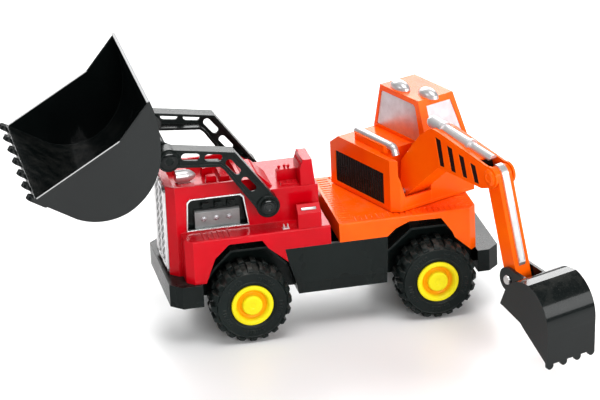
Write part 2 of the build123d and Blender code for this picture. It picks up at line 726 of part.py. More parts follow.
for hand, side in (("left", 1), ("right", -1)):
    with BuildPart() as post:
        for radius, near, far in (
            (POST_BOSS_R, HOOD_HALF, ARM_INNER - MOVE_GAP),
            (ARM_PIN_R, HOOD_HALF, ARM_INNER + ARM_DEPTH + 0.4),
            (POST_HEAD_R, ARM_INNER + ARM_DEPTH + 0.4, ARM_INNER + ARM_DEPTH + 1.6),
        ):
            with BuildSketch(side_plane(side * near)):
                with Locations(ARM_PIVOT):
                    Circle(radius)
            extrude(amount=-side * (far - near))
    save(post, f"loader_pivot_post_{hand}")

# ---------------------------------------------------------------- orange rear deck

with BuildPart() as rear_deck:
    with BuildSketch(side_plane(0)):
        with BuildLine():
            Polyline(
                (DECK_FRONT_X, CHASSIS_TOP),
                (DECK_FRONT_X, DECK_TOP),
                (DECK_REAR_X, DECK_TOP),
                (DECK_REAR_X, BUMPER_TOP),
                *REAR_ARCH,
                close=True,
            )
        make_face()
    extrude(amount=BODY_HALF, both=True)
    chamfer(edges().filter_by(Axis.Z).group_by(Axis.X)[0], BODY_CORNER)
    fillet(edges().filter_by(Axis.X).group_by(Axis.Z)[-1], 1.2)
    with BuildSketch(Plane.XY.offset(BUMPER_TOP - 1)):
        with Locations(((DECK_FRONT_X + DECK_REAR_X) / 2, 0)):
            Rectangle(DECK_FRONT_X - DECK_REAR_X - 2 * WALL, 2 * (BODY_HALF - WALL))
        chamfer(vertices().group_by(Axis.X)[0], BODY_CORNER)
    extrude(amount=DECK_TOP - WALL - BUMPER_TOP + 1, mode=Mode.SUBTRACT)
    for side in (1, -1):
        with BuildSketch(Plane.XY.offset(DECK_TOP - 0.5)):
            for i in range(DECK_SIDE_GROOVES):
                with Locations((DECK_FRONT_X - 12.0 - i * GROOVE_PITCH, side * (BODY_HALF - 6.5))):
                    Rectangle(GROOVE_W, 8.0)
        extrude(amount=1.0, mode=Mode.SUBTRACT)
    for x in (DECK_FRONT_X - 6.0, DECK_REAR_X + 6.0):
        with BuildSketch(Plane.XY.offset(DECK_TOP - 0.5)):
            for i in range(DECK_END_GROOVES):
                with Locations((x, (i - (DECK_END_GROOVES - 1) / 2) * GROOVE_PITCH)):
                    Rectangle(8.0, GROOVE_W)
        extrude(amount=1.0, mode=Mode.SUBTRACT)
    with BuildSketch(Plane.XY.offset(DECK_TOP)):
        with Locations((TURN_X, 0)):
            Circle(RING_R)
            Circle(RING_R - 3.0, mode=Mode.SUBTRACT)
    extrude(amount=RING_H)
    with BuildSketch(Plane.XY.offset(POST_TOP)):
        with Locations((TURN_X, 0)):
            Circle(TURRET_POST_R)
    extrude(amount=-(POST_TOP - DECK_TOP + POST_DEPTH))
    with Locations((TURN_X, 0, POST_TOP)):
        Hole(SCREW_R, depth=SWIVEL_SCREW_L)
save(rear_deck, "rear_deck")

with BuildPart() as swivel_cap:
    with BuildSketch(Plane.XY.offset(POST_TOP)):
        with Locations((TURN_X, 0)):
            Circle(TURRET_POST_R + 3.0)
            Circle(SCREW_R, mode=Mode.SUBTRACT)
    extrude(amount=SWIVEL_CAP_H)
save(swivel_cap, "swivel_cap")

with BuildPart() as swivel_screw:
    for radius, depth in ((SCREW_HEAD_R, SCREW_HEAD_H), (SCREW_R, -SWIVEL_CAP_H - SWIVEL_SCREW_L)):
        with BuildSketch(Plane.XY.offset(POST_TOP + SWIVEL_CAP_H)):
            with Locations((TURN_X, 0)):
                Circle(radius)
        extrude(amount=depth)
save(swivel_screw, "swivel_screw")

# ---------------------------------------------------------------- loader arms and bucket

ARM_OUTLINE = (
    (41.0, 69.6),
    (69.2, 108.5),
    (112.8, 115.6),
    (116.0, 100.8),
    (109.5, 102.3),
    (79.8, 99.4),
    (77.2, 97.0),
    (56.0, 65.5),
)
ARM_SLOTS = (                   # two ends of each slot's centre line, then its width
    ((95.6, 108.1), (103.0, 109.1), 5.2),
    ((80.3, 105.6), (87.3, 106.6), 5.2),
    ((68.0, 94.4), (73.4, 101.2), 5.0),
    ((58.2, 81.1), (63.2, 87.3), 5.0),
)
BUCKET_SHAFT_R = 3.0
BUCKET_EAR_R = 7.0
BUCKET_EAR_INNER = 27.0
BUCKET_EAR_OUTER = ARM_INNER - MOVE_GAP
BUCKET_LIP = (209.5, 102.8)
BUCKET_TOP = (129.0, 163.0)
BUCKET_BEND = (150.2, 137.2)    # where the side wall's free edge turns
TOOTH_L = 5.0
TOOTH_W = 7.0
TOOTH_T = 3.0
TOOTH_ROOT = 8.0                # half length of a tooth, most of it over the floor


def arm_side(side, outwards):
    """Sketch plane across an arm at a distance outwards from its open inner side."""
    return side_plane(side * (ARM_INNER + outwards))


ARM_WEB = ARM_DEPTH - ARM_RECESS - ARM_WALL

for hand, side in (("left", 1), ("right", -1)):
    with BuildPart() as arm:
        with BuildSketch(arm_side(side, 0)):
            Polygon(*ARM_OUTLINE, align=None)
            with Locations(ARM_PIVOT, BUCKET_PIVOT):
                Circle(ARM_BOSS_R)
        extrude(amount=-side * ARM_DEPTH)
        for start, depth in ((0, ARM_WEB), (ARM_DEPTH - ARM_RECESS, ARM_RECESS)):
            with BuildSketch(arm_side(side, start)):
                Polygon(*ARM_OUTLINE, align=None)
                offset(amount=-ARM_WALL)
                with Locations(ARM_PIVOT, BUCKET_PIVOT):
                    Circle(ARM_BOSS_R, mode=Mode.SUBTRACT)
            extrude(amount=-side * depth, mode=Mode.SUBTRACT)
        with BuildSketch(arm_side(side, ARM_WEB)):
            for (x0, z0), (x1, z1), width in ARM_SLOTS:
                with Locations(((x0 + x1) / 2, (z0 + z1) / 2)):
                    SlotCenterToCenter(hypot(x1 - x0, z1 - z0), width, rotation=degrees(atan2(z1 - z0, x1 - x0)))
        extrude(amount=-side * ARM_WALL, mode=Mode.SUBTRACT)
        with BuildSketch(arm_side(side, 0)):
            with Locations(ARM_PIVOT):
                Circle(ARM_PIN_R + RUN_FIT)
            with Locations(BUCKET_PIVOT):
                Circle(BUCKET_SHAFT_R)
        extrude(amount=-side * ARM_DEPTH, mode=Mode.SUBTRACT)
    save(arm, f"loader_arm_{hand}")

with BuildPart() as bucket_shaft:
    with BuildSketch(side_plane(0)):
        with Locations(BUCKET_PIVOT):
            Circle(BUCKET_SHAFT_R)
    extrude(amount=ARM_INNER + ARM_DEPTH, both=True)
    for side in (1, -1):
        with BuildSketch(arm_side(side, ARM_DEPTH)):
            with Locations(BUCKET_PIVOT):
                Circle(ARM_BOSS_R - 0.6)
        extrude(amount=-side * 1.6)
        fillet(edges().filter_by(GeomType.CIRCLE).group_by(Axis.Y)[-1 if side > 0 else 0], 1.4)
save(bucket_shaft, "bucket_shaft")


def loader_back():
    """Outside line of the loader bucket from its lip over the floor and back to the top edge."""
    Line(BUCKET_LIP, (182.0, 86.4))
    ThreePointArc((182.0, 86.4), (164.0, 82.6), (146.6, 87.1))
    ThreePointArc((146.6, 87.1), (131.5, 101.3), (123.7, 124.7))
    ThreePointArc((123.7, 124.7), (124.2, 143.0), BUCKET_TOP)


with BuildPart() as loader_bucket:
    with BuildSketch(side_plane(0)):
        with BuildLine():
            loader_back()
            offset(amount=BUCKET_WALL, side=Side.RIGHT)
        make_face()
    extrude(amount=BUCKET_HALF, both=True)
    for side in (1, -1):
        with BuildSketch(side_plane(side * (BUCKET_HALF - BUCKET_WALL))):
            with BuildLine():
                loader_back()
                Polyline(BUCKET_TOP, BUCKET_BEND, BUCKET_LIP)
            make_face()
        extrude(amount=-side * BUCKET_WALL)
    for side in (1, -1):
        with BuildSketch(side_plane(side * BUCKET_EAR_INNER)):
            with Locations(BUCKET_PIVOT):
                Circle(BUCKET_EAR_R)
            with Locations((131.4, 104.4), (127.2, 112.6), (125.1, 122.0)):
                Circle(0.8)
            make_hull()
        extrude(amount=-side * (BUCKET_EAR_OUTER - BUCKET_EAR_INNER))
    with BuildSketch(side_plane(0)):
        with Locations(BUCKET_PIVOT):
            Circle(BUCKET_SHAFT_R + RUN_FIT)
    extrude(amount=BUCKET_EAR_OUTER, both=True, mode=Mode.SUBTRACT)
    lip_angle = atan2(BUCKET_LIP[1] - 86.4, BUCKET_LIP[0] - 182.0)
    lip = Plane(
        origin=(BUCKET_LIP[0], 0, BUCKET_LIP[1]),
        x_dir=(cos(lip_angle), 0, sin(lip_angle)),
        z_dir=(-sin(lip_angle), 0, cos(lip_angle)),
    )
    tooth_pitch = (2 * BUCKET_HALF - TOOTH_W) / (BUCKET_TEETH - 1)
    with BuildSketch(lip.offset(-TOOTH_T / 3)):
        with Locations((TOOTH_L - TOOTH_ROOT, 0)):
            with GridLocations(0, tooth_pitch, 1, BUCKET_TEETH):
                SlotOverall(2 * TOOTH_ROOT, TOOTH_W)
    extrude(amount=TOOTH_T)
save(loader_bucket, "loader_bucket")

# ---------------------------------------------------------------- turret

NOTCH_U = 11.0                  # the boom's notch runs from here to the front face
NOTCH_V = (-12.8, 9.2)
NOTCH_FLARE = (-18.0, 75.0)     # the notch widens to this v above this height
TURRET_CORNER = 13.0            # rounding of the corner that swings past the cab floor
TURRET_EDGE = 5.0
TURRET_SLOPE = (10.0, 7.0)      # slope of the rear top edge, along and down
GRILLE_U = (-36.0, 20.5)
SIDE_GRILLE_Z = (51.8, 74.6)
GRILLE_DEPTH = 1.2
LOUVRES = 20
COVER_TOP = 58.0
BOOM_PIN_V = (-16.0, 12.0)


def turret_outline(inset):
    """Corners of the turret in plan, moved inwards by inset."""
    u0, u1 = TURRET_REAR_U + inset, TURRET_FRONT_U - inset
    v0, v1 = TURRET_LEFT_V + inset, TURRET_RIGHT_V - inset
    return (
        (u0, v0),
        (u1 - TURRET_EDGE, v0),
        (u1, v0 + TURRET_EDGE),
        (u1, v1),
        (u0 + TURRET_CORNER, v1),
        (u0, v1 - TURRET_CORNER),
    )


with BuildPart() as turret_floor:
    with BuildSketch(turret_plan(TURRET_BOTTOM)):
        Polygon(*turret_outline(0), align=None)
        Circle(TURRET_POST_R + RUN_FIT, mode=Mode.SUBTRACT)
    extrude(amount=TURRET_FLOOR)
save(turret_floor, "turret_floor")

HOUSING_BOTTOM = TURRET_BOTTOM + TURRET_FLOOR

with BuildPart() as housing:
    with BuildSketch(turret_plan(HOUSING_BOTTOM)):
        Polygon(*turret_outline(0), align=None)
    extrude(amount=TURRET_TOP - HOUSING_BOTTOM)
    with BuildSketch(boom_side(TURRET_LEFT_V)):
        Polygon(
            (TURRET_REAR_U, TURRET_TOP),
            (TURRET_REAR_U + TURRET_SLOPE[0], TURRET_TOP),
            (TURRET_REAR_U, TURRET_TOP - TURRET_SLOPE[1]),
            align=None,
        )
    extrude(amount=-(TURRET_RIGHT_V - TURRET_LEFT_V), mode=Mode.SUBTRACT)
    with BuildSketch(turret_plan(HOUSING_BOTTOM)):
        Polygon(*turret_outline(WALL), align=None)
    extrude(amount=TURRET_TOP - TURRET_SLOPE[1] - WALL - HOUSING_BOTTOM, mode=Mode.SUBTRACT)
    with BuildSketch(boom_front(NOTCH_U - WALL)):
        Polygon(
            (TURRET_LEFT_V + WALL - 0.2, HOUSING_BOTTOM),
            (TURRET_LEFT_V + WALL - 0.2, TURRET_TOP - WALL),
            (NOTCH_V[1] + WALL, TURRET_TOP - WALL),
            (NOTCH_V[1] + WALL, HOUSING_BOTTOM),
            align=None,
        )
    extrude(amount=TURRET_FRONT_U - TURRET_EDGE - NOTCH_U + WALL)
    with BuildSketch(boom_front(TURRET_FRONT_U - TURRET_EDGE)):
        Polygon(
            (NOTCH_V[0] - WALL, HOUSING_BOTTOM),
            (NOTCH_V[0] - WALL, TURRET_TOP - WALL),
            (NOTCH_V[1] + WALL, TURRET_TOP - WALL),
            (NOTCH_V[1] + WALL, HOUSING_BOTTOM),
            align=None,
        )
    extrude(amount=TURRET_EDGE)
    with BuildSketch(boom_front(NOTCH_U)):
        Polygon(
            (NOTCH_V[0], HOUSING_BOTTOM),
            (NOTCH_V[0], COVER_TOP),
            (NOTCH_FLARE[0], NOTCH_FLARE[1]),
            (NOTCH_FLARE[0], TURRET_TOP),
            (NOTCH_V[1], TURRET_TOP),
            (NOTCH_V[1], HOUSING_BOTTOM),
            align=None,
        )
    extrude(amount=TURRET_FRONT_U - NOTCH_U, mode=Mode.SUBTRACT)
    with BuildSketch(boom_side(TURRET_LEFT_V)):
        with Locations((sum(GRILLE_U) / 2, sum(SIDE_GRILLE_Z) / 2)):
            Rectangle(GRILLE_U[1] - GRILLE_U[0], SIDE_GRILLE_Z[1] - SIDE_GRILLE_Z[0])
    extrude(amount=-GRILLE_DEPTH, mode=Mode.SUBTRACT)
    with BuildSketch(boom_side(BOOM_PIN_V[1])):
        with Locations(BOOM_PIVOT):
            Circle(BOOM_PIN_R)
    extrude(amount=BOOM_PIN_V[1] - BOOM_PIN_V[0], mode=Mode.SUBTRACT)
save(housing, "turret_housing")

with BuildPart() as side_grille:
    with BuildSketch(boom_side(TURRET_LEFT_V + GRILLE_DEPTH)):
        with Locations((sum(GRILLE_U) / 2, sum(SIDE_GRILLE_Z) / 2)):
            Rectangle(GRILLE_U[1] - GRILLE_U[0], SIDE_GRILLE_Z[1] - SIDE_GRILLE_Z[0])
    extrude(amount=0.5)
    louvre_pitch = (GRILLE_U[1] - GRILLE_U[0]) / LOUVRES
    with BuildSketch(boom_side(TURRET_LEFT_V + GRILLE_DEPTH - 0.5)):
        with Locations((sum(GRILLE_U) / 2, sum(SIDE_GRILLE_Z) / 2)):
            with GridLocations(louvre_pitch, 0, LOUVRES, 1):
                Rectangle(0.5 * louvre_pitch, SIDE_GRILLE_Z[1] - SIDE_GRILLE_Z[0] - 1.0)
    extrude(amount=0.5)
save(side_grille, "turret_grille")

with BuildPart() as mount_cover:
    with BuildSketch(turret_plan(HOUSING_BOTTOM)):
        with Locations((TURRET_FRONT_U - WALL / 2, sum(NOTCH_V) / 2)):
            Rectangle(WALL, NOTCH_V[1] - NOTCH_V[0])
    extrude(amount=COVER_TOP - HOUSING_BOTTOM)
save(mount_cover, "boom_mount_cover")

with BuildPart() as boom_pin:
    with BuildSketch(boom_side(BOOM_PIN_V[1])):
        with Locations(BOOM_PIVOT):
            Circle(BOOM_PIN_R)
    extrude(amount=BOOM_PIN_V[1] - BOOM_PIN_V[0])
save(boom_pin, "boom_pin")

# ---------------------------------------------------------------- cab and turret trim

CAB_BASE_U = (-33.0, 29.0)
CAB_BASE_V = (CAB_LEFT_V, 45.0)
CAB_ROOF_U = (-24.0, 19.9)
CAB_ROOF_V = (CAB_LEFT_V, 39.0)
CAB_WALL = 1.6
GLASS_INSET = 0.5
GLASS_T = 0.8
SIDE_WINDOW = ((-29.6, 88.6), (-23.4, 113.4), (-21.4, 115.0), (14.2, 115.0), (16.0, 113.6), (21.6, 88.6))
FRONT_WINDOW = ((16.5, 89.0), (15.5, 114.6), (36.0, 114.6), (41.6, 89.0))
REAR_WINDOW = ((14.0, 89.0), (14.0, 113.0), (35.5, 113.0), (40.5, 89.0))
PIPE_R = 2.7
PIPE_V = -12.6
PIPE_Z = TURRET_TOP + 5.4
PIPE_U = (-22.0, 20.5)
LAMPS = ((-9.0, 15.8), (15.0, 22.0))
LAMP_L = 17.0
LAMP_W = 9.0
LAMP_H = 5.0


def cab_outline(bounds_u, bounds_v, inset):
    """Rectangle of the cab in plan, moved inwards by inset."""
    return (
        (bounds_u[0] + inset, bounds_v[0] + inset),
        (bounds_u[1] - inset, bounds_v[0] + inset),
        (bounds_u[1] - inset, bounds_v[1] - inset),
        (bounds_u[0] + inset, bounds_v[1] - inset),
    )


with BuildPart() as window_cuts:
    with BuildSketch(boom_side(CAB_LEFT_V - 1)):
        Polygon(*SIDE_WINDOW, align=None)
    extrude(amount=-(CAB_WALL + 2))
    with BuildSketch(boom_side(CAB_ROOF_V[1] - 2.5)):
        Polygon(*SIDE_WINDOW, align=None)
    extrude(amount=-12)
    with BuildSketch(boom_front(17.0)):
        Polygon(*FRONT_WINDOW, align=None)
    extrude(amount=14)
    with BuildSketch(boom_front(-21.0)):
        Polygon(*REAR_WINDOW, align=None)
    extrude(amount=-14)

with BuildPart() as cab:
    with BuildSketch(turret_plan(TURRET_TOP)):
        Polygon(*cab_outline(CAB_BASE_U, CAB_BASE_V, 0), align=None)
    with BuildSketch(turret_plan(CAB_TOP)):
        Polygon(*cab_outline(CAB_ROOF_U, CAB_ROOF_V, 0), align=None)
    loft()
    with BuildSketch(turret_plan(TURRET_TOP)):
        Polygon(*cab_outline(CAB_BASE_U, CAB_BASE_V, CAB_WALL), align=None)
    with BuildSketch(turret_plan(CAB_TOP - CAB_WALL)):
        Polygon(*cab_outline(CAB_ROOF_U, CAB_ROOF_V, CAB_WALL), align=None)
    loft(mode=Mode.SUBTRACT)
    add(window_cuts.part, mode=Mode.SUBTRACT)
save(cab, "cab")

with BuildPart() as glass:
    with BuildSketch(turret_plan(TURRET_TOP)):
        Polygon(*cab_outline(CAB_BASE_U, CAB_BASE_V, GLASS_INSET), align=None)
    with BuildSketch(turret_plan(CAB_TOP)):
        Polygon(*cab_outline(CAB_ROOF_U, CAB_ROOF_V, GLASS_INSET), align=None)
    loft()
    with BuildSketch(turret_plan(TURRET_TOP)):
        Polygon(*cab_outline(CAB_BASE_U, CAB_BASE_V, GLASS_INSET + GLASS_T), align=None)
    with BuildSketch(turret_plan(CAB_TOP)):
        Polygon(*cab_outline(CAB_ROOF_U, CAB_ROOF_V, GLASS_INSET + GLASS_T), align=None)
    loft(mode=Mode.SUBTRACT)
    add(window_cuts.part, mode=Mode.INTERSECT)
save(glass, "cab_windows")

with BuildPart() as roof_lamps:
    for u, v in LAMPS:
        with BuildSketch(turret_plan(CAB_TOP)):
            with Locations((u, v)):
                SlotOverall(LAMP_L, LAMP_W)
        extrude(amount=LAMP_H)
    fillet(edges().group_by(Axis.Z)[-1], 3.6)
save(roof_lamps, "roof_lamps")

with BuildPart() as exhaust_box:
    with BuildSketch(turret_plan(TURRET_TOP)):
        with Locations((sum(PIPE_U) / 2 - 2, PIPE_V)):
            Rectangle(PIPE_U[1] - PIPE_U[0] - 5, 8.0)
        fillet(vertices(), 3.0)
    extrude(amount=PIPE_Z - TURRET_TOP)
    with BuildSketch(boom_front(PIPE_U[0] - 2)):
        with Locations((PIPE_V, PIPE_Z)):
            Circle(PIPE_R)
    extrude(amount=PIPE_U[1] - PIPE_U[0] + 4, mode=Mode.SUBTRACT)
save(exhaust_box, "exhaust_box")

with BuildPart() as exhaust_pipe:
    with BuildLine(boom_side(PIPE_V)):
        FilletPolyline((PIPE_U[0], PIPE_Z), (PIPE_U[1], PIPE_Z), (PIPE_U[1] + 2.5, TURRET_TOP), radius=3.2)
    with BuildSketch(boom_front(PIPE_U[0])):
        with Locations((PIPE_V, PIPE_Z)):
            Circle(PIPE_R)
    sweep()
    with BuildSketch(boom_front(PIPE_U[0])):
        with Locations((PIPE_V, PIPE_Z)):
            Circle(PIPE_R - 0.8)
    extrude(amount=6.0, mode=Mode.SUBTRACT)
    with BuildSketch(turret_plan(TURRET_TOP)):
        with Locations((PIPE_U[1], PIPE_V)):
            Rectangle(20, 20)
    extrude(amount=-20, mode=Mode.SUBTRACT)
save(exhaust_pipe, "exhaust_pipe")

# ---------------------------------------------------------------- boom

BOOM_OUTLINE = (                # from the foot's rear edge over the apex to the elbow and back below
    (20.3, 59.5),
    (22.3, 81.3),
    (44.0, 106.0),
    (54.5, 113.6),
    (59.0, 115.2),
    (64.4, 115.0),
    (118.5, 106.6),
    (121.0, 92.0),
    (112.0, 89.0),
    (66.0, 89.0),
    (63.3, 87.5),
    (33.0, 61.6),
    (26.5, 55.8),
)
STICK_NOTCH_R = 15.0
SLOT_TOP = ((62.0, 110.4), (67.8, 109.6))
SLOT_BOTTOM = ((66.6, 91.0), (71.6, 91.0))
SLOT_PITCH = 12.6
SLOT_DROP = 2.2                 # how much lower each slot's top is than the one before
SLOTS = 4
CORE_HALF = 5.0
CORE_FIT = 0.1


def boom_slots():
    """Corner lists of the slots in the boom's side."""
    for i in range(SLOTS):
        shift, drop = i * SLOT_PITCH, i * SLOT_DROP
        yield (
            (SLOT_TOP[0][0] + shift, SLOT_TOP[0][1] - drop),
            (SLOT_TOP[1][0] + shift, SLOT_TOP[1][1] - drop),
            (SLOT_BOTTOM[1][0] + shift, SLOT_BOTTOM[1][1]),
            (SLOT_BOTTOM[0][0] + shift, SLOT_BOTTOM[0][1]),
        )


for hand, side in (("left", -1), ("right", 1)):
    with BuildPart() as boom_half:
        with BuildSketch(boom_side(0)):
            Polygon(*BOOM_OUTLINE, align=None)
            with Locations(BOOM_PIVOT):
                Circle(BOOM_FOOT_R)
            with Locations(ELBOW):
                Circle(ELBOW_R)
        extrude(amount=-side * BOOM_HALF)
        with BuildSketch(boom_side(0)):
            Polygon(*BOOM_OUTLINE, align=None)
            offset(amount=-BOOM_WALL)
            with Locations(BOOM_PIVOT):
                Circle(BOOM_FOOT_R, mode=Mode.SUBTRACT)
            with Locations(ELBOW):
                Circle(STICK_NOTCH_R)
        extrude(amount=-side * (BOOM_HALF - BOOM_WALL), mode=Mode.SUBTRACT)
        with BuildSketch(boom_side(0)):
            with Locations(BOOM_PIVOT):
                Circle(BOOM_PIN_R + RUN_FIT)
            with Locations(ELBOW):
                Circle(ELBOW_PIN_R)
            for corners in boom_slots():
                Polygon(*corners, align=None)
        extrude(amount=-side * BOOM_HALF, mode=Mode.SUBTRACT)
    save(boom_half, f"boom_half_{hand}")

with BuildPart() as boom_core:
    with BuildSketch(boom_side(0)):
        with Locations((85.0, 100.0)):
            Rectangle(44.0, 12.0)
    extrude(amount=CORE_HALF, both=True)
    with BuildSketch(boom_side(0)):
        for corners in boom_slots():
            Polygon(*corners, align=None)
        offset(amount=-CORE_FIT, kind=Kind.INTERSECTION)
    extrude(amount=BOOM_HALF - 0.3, both=True)
save(boom_core, "boom_core")

RAM_START = (49.8, 115.6)       # centre of the silver ram's domed end
RAM_END = (114.8, 108.6)        # where its rod meets the stick's notch
RAM_FALL = degrees(atan2(RAM_START[1] - RAM_END[1], RAM_END[0] - RAM_START[0]))
RAM_STEPS = (                   # length from the dome, radius
    (0.0, 4.4),
    (11.0, 4.4),
    (11.0, 5.0),
    (13.5, 5.0),
    (13.5, 3.7),
    (40.0, 3.7),
    (40.0, 4.5),
    (42.5, 4.5),
    (42.5, 2.9),
    (hypot(RAM_END[0] - RAM_START[0], RAM_END[1] - RAM_START[1]), 2.9),
)
ram_plane = Plane(
    origin=turret_point(RAM_START[0], 0, RAM_START[1]),
    x_dir=(
        cos(radians(RAM_FALL)) * cos(TURN),
        cos(radians(RAM_FALL)) * sin(TURN),
        -sin(radians(RAM_FALL)),
    ),
    z_dir=(sin(TURN), -cos(TURN), 0),
)

with BuildPart() as ram:
    with BuildSketch(ram_plane):
        Polygon((0, 0), *RAM_STEPS, (RAM_STEPS[-1][0], 0), align=None)
    revolve(axis=Axis(ram_plane.origin, ram_plane.x_dir))
    with Locations(ram_plane):
        Sphere(RAM_STEPS[0][1])
    with BuildSketch(boom_side(0)):
        Polygon(*BOOM_OUTLINE, align=None)
        with Locations(ELBOW):
            Circle(STICK_NOTCH_R - 3.5)
    extrude(amount=BOOM_HALF, both=True, mode=Mode.SUBTRACT)
save(ram, "boom_ram")

with BuildPart() as elbow_pin:
    with BuildSketch(boom_side(0)):
        with Locations(ELBOW):
            Circle(ELBOW_PIN_R)
    extrude(amount=BOOM_HALF + 0.8, both=True)
save(elbow_pin, "elbow_pin")

# ---------------------------------------------------------------- stick and hoe bucket

STICK_R = 6.4
STICK_WALL = 1.6
STRIP_HALF = 2.6
STRIP_H = 1.2
STRIP_WRAP = 85                 # degrees that the strip wraps back round the elbow
HOE_NECK = (145.3, 21.0)
HOE_LIP = (194.1, -7.0)
HOE_EDGE = (HOE_LIP, (170.5, 10.4), (166.3, 14.0), HOE_NECK)    # free edge of the side walls
HOE_TOOTH_L = 3.4
HOE_TOOTH_W = 5.4
HOE_TOOTH_ROOT = 5.0

stick_tilt = atan2(HOE_PIVOT[1] - ELBOW[1], HOE_PIVOT[0] - ELBOW[0])
stick_length = hypot(HOE_PIVOT[0] - ELBOW[0], HOE_PIVOT[1] - ELBOW[1])


def stick_side(v):
    """Sketch plane along the stick: x runs from the elbow to the hoe pivot, y towards the outer face."""
    return Plane(
        origin=turret_point(ELBOW[0], v, ELBOW[1]),
        x_dir=(cos(stick_tilt) * cos(TURN), cos(stick_tilt) * sin(TURN), sin(stick_tilt)),
        z_dir=(sin(TURN), -cos(TURN), 0),
    )


with BuildPart() as stick:
    with BuildSketch(stick_side(0)):
        Circle(STICK_R)
        with Locations((stick_length, 0)):
            Circle(STICK_R)
        make_hull()
    extrude(amount=STICK_HALF, both=True)
    with BuildSketch(stick_side(0)):
        with Locations((stick_length / 2, -STICK_WALL)):
            Rectangle(stick_length - 3.2 * STICK_R, 2 * STICK_R)
    extrude(amount=STICK_HALF - STICK_WALL, both=True, mode=Mode.SUBTRACT)
    with BuildSketch(stick_side(0)):
        Circle(ELBOW_PIN_R + RUN_FIT)
        with Locations((stick_length, 0)):
            Circle(HOE_PIN_R)
    extrude(amount=STICK_HALF, both=True, mode=Mode.SUBTRACT)
save(stick, "stick")

with BuildPart() as stick_strip:
    with BuildSketch(stick_side(0)):
        with BuildLine():
            Polyline(
                (0, STICK_R),
                (0, STICK_R + STRIP_H),
                (stick_length - 10.0, STICK_R + STRIP_H),
                (stick_length - 8.0, STICK_R),
                close=True,
            )
        make_face()
        with BuildLine():
            inner = CenterArc((0, 0), STICK_R, 90, STRIP_WRAP)
            outer = CenterArc((0, 0), STICK_R + STRIP_H, 90, STRIP_WRAP)
            Line(inner @ 0, outer @ 0)
            Line(inner @ 1, outer @ 1)
        make_face()
    extrude(amount=STRIP_HALF, both=True)
save(stick_strip, "stick_strip")

with BuildPart() as hoe_pin:
    with BuildSketch(stick_side(0)):
        with Locations((stick_length, 0)):
            Circle(HOE_PIN_R)
    extrude(amount=HOE_EAR_INNER + HOE_EAR_WALL + 0.3, both=True)
    for side in (1, -1):
        with BuildSketch(stick_side(side * (HOE_EAR_INNER + HOE_EAR_WALL + 0.3))):
            with Locations((stick_length, 0)):
                Circle(HOE_PIN_R + 1.2)
        extrude(amount=-side * 1.0, taper=25)
save(hoe_pin, "hoe_pin")


def hoe_back():
    """Outside line of the hoe bucket from its neck over the back to the lip."""
    Line(HOE_NECK, (150.9, 32.3))
    ThreePointArc((150.9, 32.3), (157.5, 39.7), (167.0, 43.5))
    Line((167.0, 43.5), (175.5, 43.9))
    ThreePointArc((175.5, 43.9), (189.0, 35.4), (195.2, 14.0))
    Line((195.2, 14.0), HOE_LIP)


with BuildPart() as hoe:
    with BuildSketch(boom_side(0)):
        with BuildLine():
            hoe_back()
            offset(amount=HOE_WALL, side=Side.RIGHT)
        make_face()
    extrude(amount=HOE_HALF, both=True)
    for side in (1, -1):
        with BuildSketch(boom_side(side * (HOE_HALF - HOE_WALL))):
            with BuildLine():
                hoe_back()
                Polyline(*HOE_EDGE)
            make_face()
        extrude(amount=-side * HOE_WALL)
    for side in (1, -1):
        with BuildSketch(boom_side(side * HOE_EAR_INNER)):
            with Locations(HOE_PIVOT):
                Circle(HOE_EAR_R)
            with Locations((150.6, 29.2), (152.6, 32.9), (158.0, 38.6)):
                Circle(0.8)
            make_hull()
        extrude(amount=-side * HOE_EAR_WALL)
    with BuildSketch(boom_side(0)):
        with Locations(HOE_PIVOT):
            Circle(HOE_PIN_R + RUN_FIT)
    extrude(amount=HOE_EAR_INNER + HOE_EAR_WALL, both=True, mode=Mode.SUBTRACT)
    with BuildSketch(boom_front(HOE_LIP[0])):
        with Locations((0, HOE_LIP[1] - HOE_TOOTH_L + HOE_TOOTH_ROOT)):
            with GridLocations((2 * HOE_HALF - HOE_TOOTH_W) / (HOE_TEETH - 1), 0, HOE_TEETH, 1):
                SlotOverall(2 * HOE_TOOTH_ROOT, HOE_TOOTH_W, rotation=90)
    extrude(amount=-HOE_WALL)
save(hoe, "hoe_bucket")
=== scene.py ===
import json
import math

import bmesh
import bpy
from mathutils import Matrix, Vector


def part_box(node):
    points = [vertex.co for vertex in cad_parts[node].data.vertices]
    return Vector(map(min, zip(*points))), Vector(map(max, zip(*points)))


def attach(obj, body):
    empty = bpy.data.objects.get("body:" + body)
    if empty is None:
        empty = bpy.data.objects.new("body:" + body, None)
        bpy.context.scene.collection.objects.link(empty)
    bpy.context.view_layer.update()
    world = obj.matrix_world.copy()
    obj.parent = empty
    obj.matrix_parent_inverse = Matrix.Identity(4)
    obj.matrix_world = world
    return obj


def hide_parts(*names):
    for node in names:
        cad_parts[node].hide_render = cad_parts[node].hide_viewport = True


# Toy backhoe loader: finishes for its parts, and the moulded details they carry.
# Metres; +X towards the loader bucket, +Y the vehicle's left, +Z up, origin under the chassis.

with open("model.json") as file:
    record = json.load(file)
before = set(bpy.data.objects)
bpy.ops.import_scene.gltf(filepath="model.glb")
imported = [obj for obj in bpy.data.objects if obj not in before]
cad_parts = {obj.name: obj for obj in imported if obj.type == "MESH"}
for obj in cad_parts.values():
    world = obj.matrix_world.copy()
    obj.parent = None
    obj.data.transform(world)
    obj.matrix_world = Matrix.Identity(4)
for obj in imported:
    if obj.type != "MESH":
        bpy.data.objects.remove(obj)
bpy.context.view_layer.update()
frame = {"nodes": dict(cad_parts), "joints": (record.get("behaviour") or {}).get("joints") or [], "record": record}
record = frame["record"]
joints = {joint["name"]: joint for joint in frame["joints"]}

MM = 0.001


# ------------------------------------------------------------------ shader building blocks


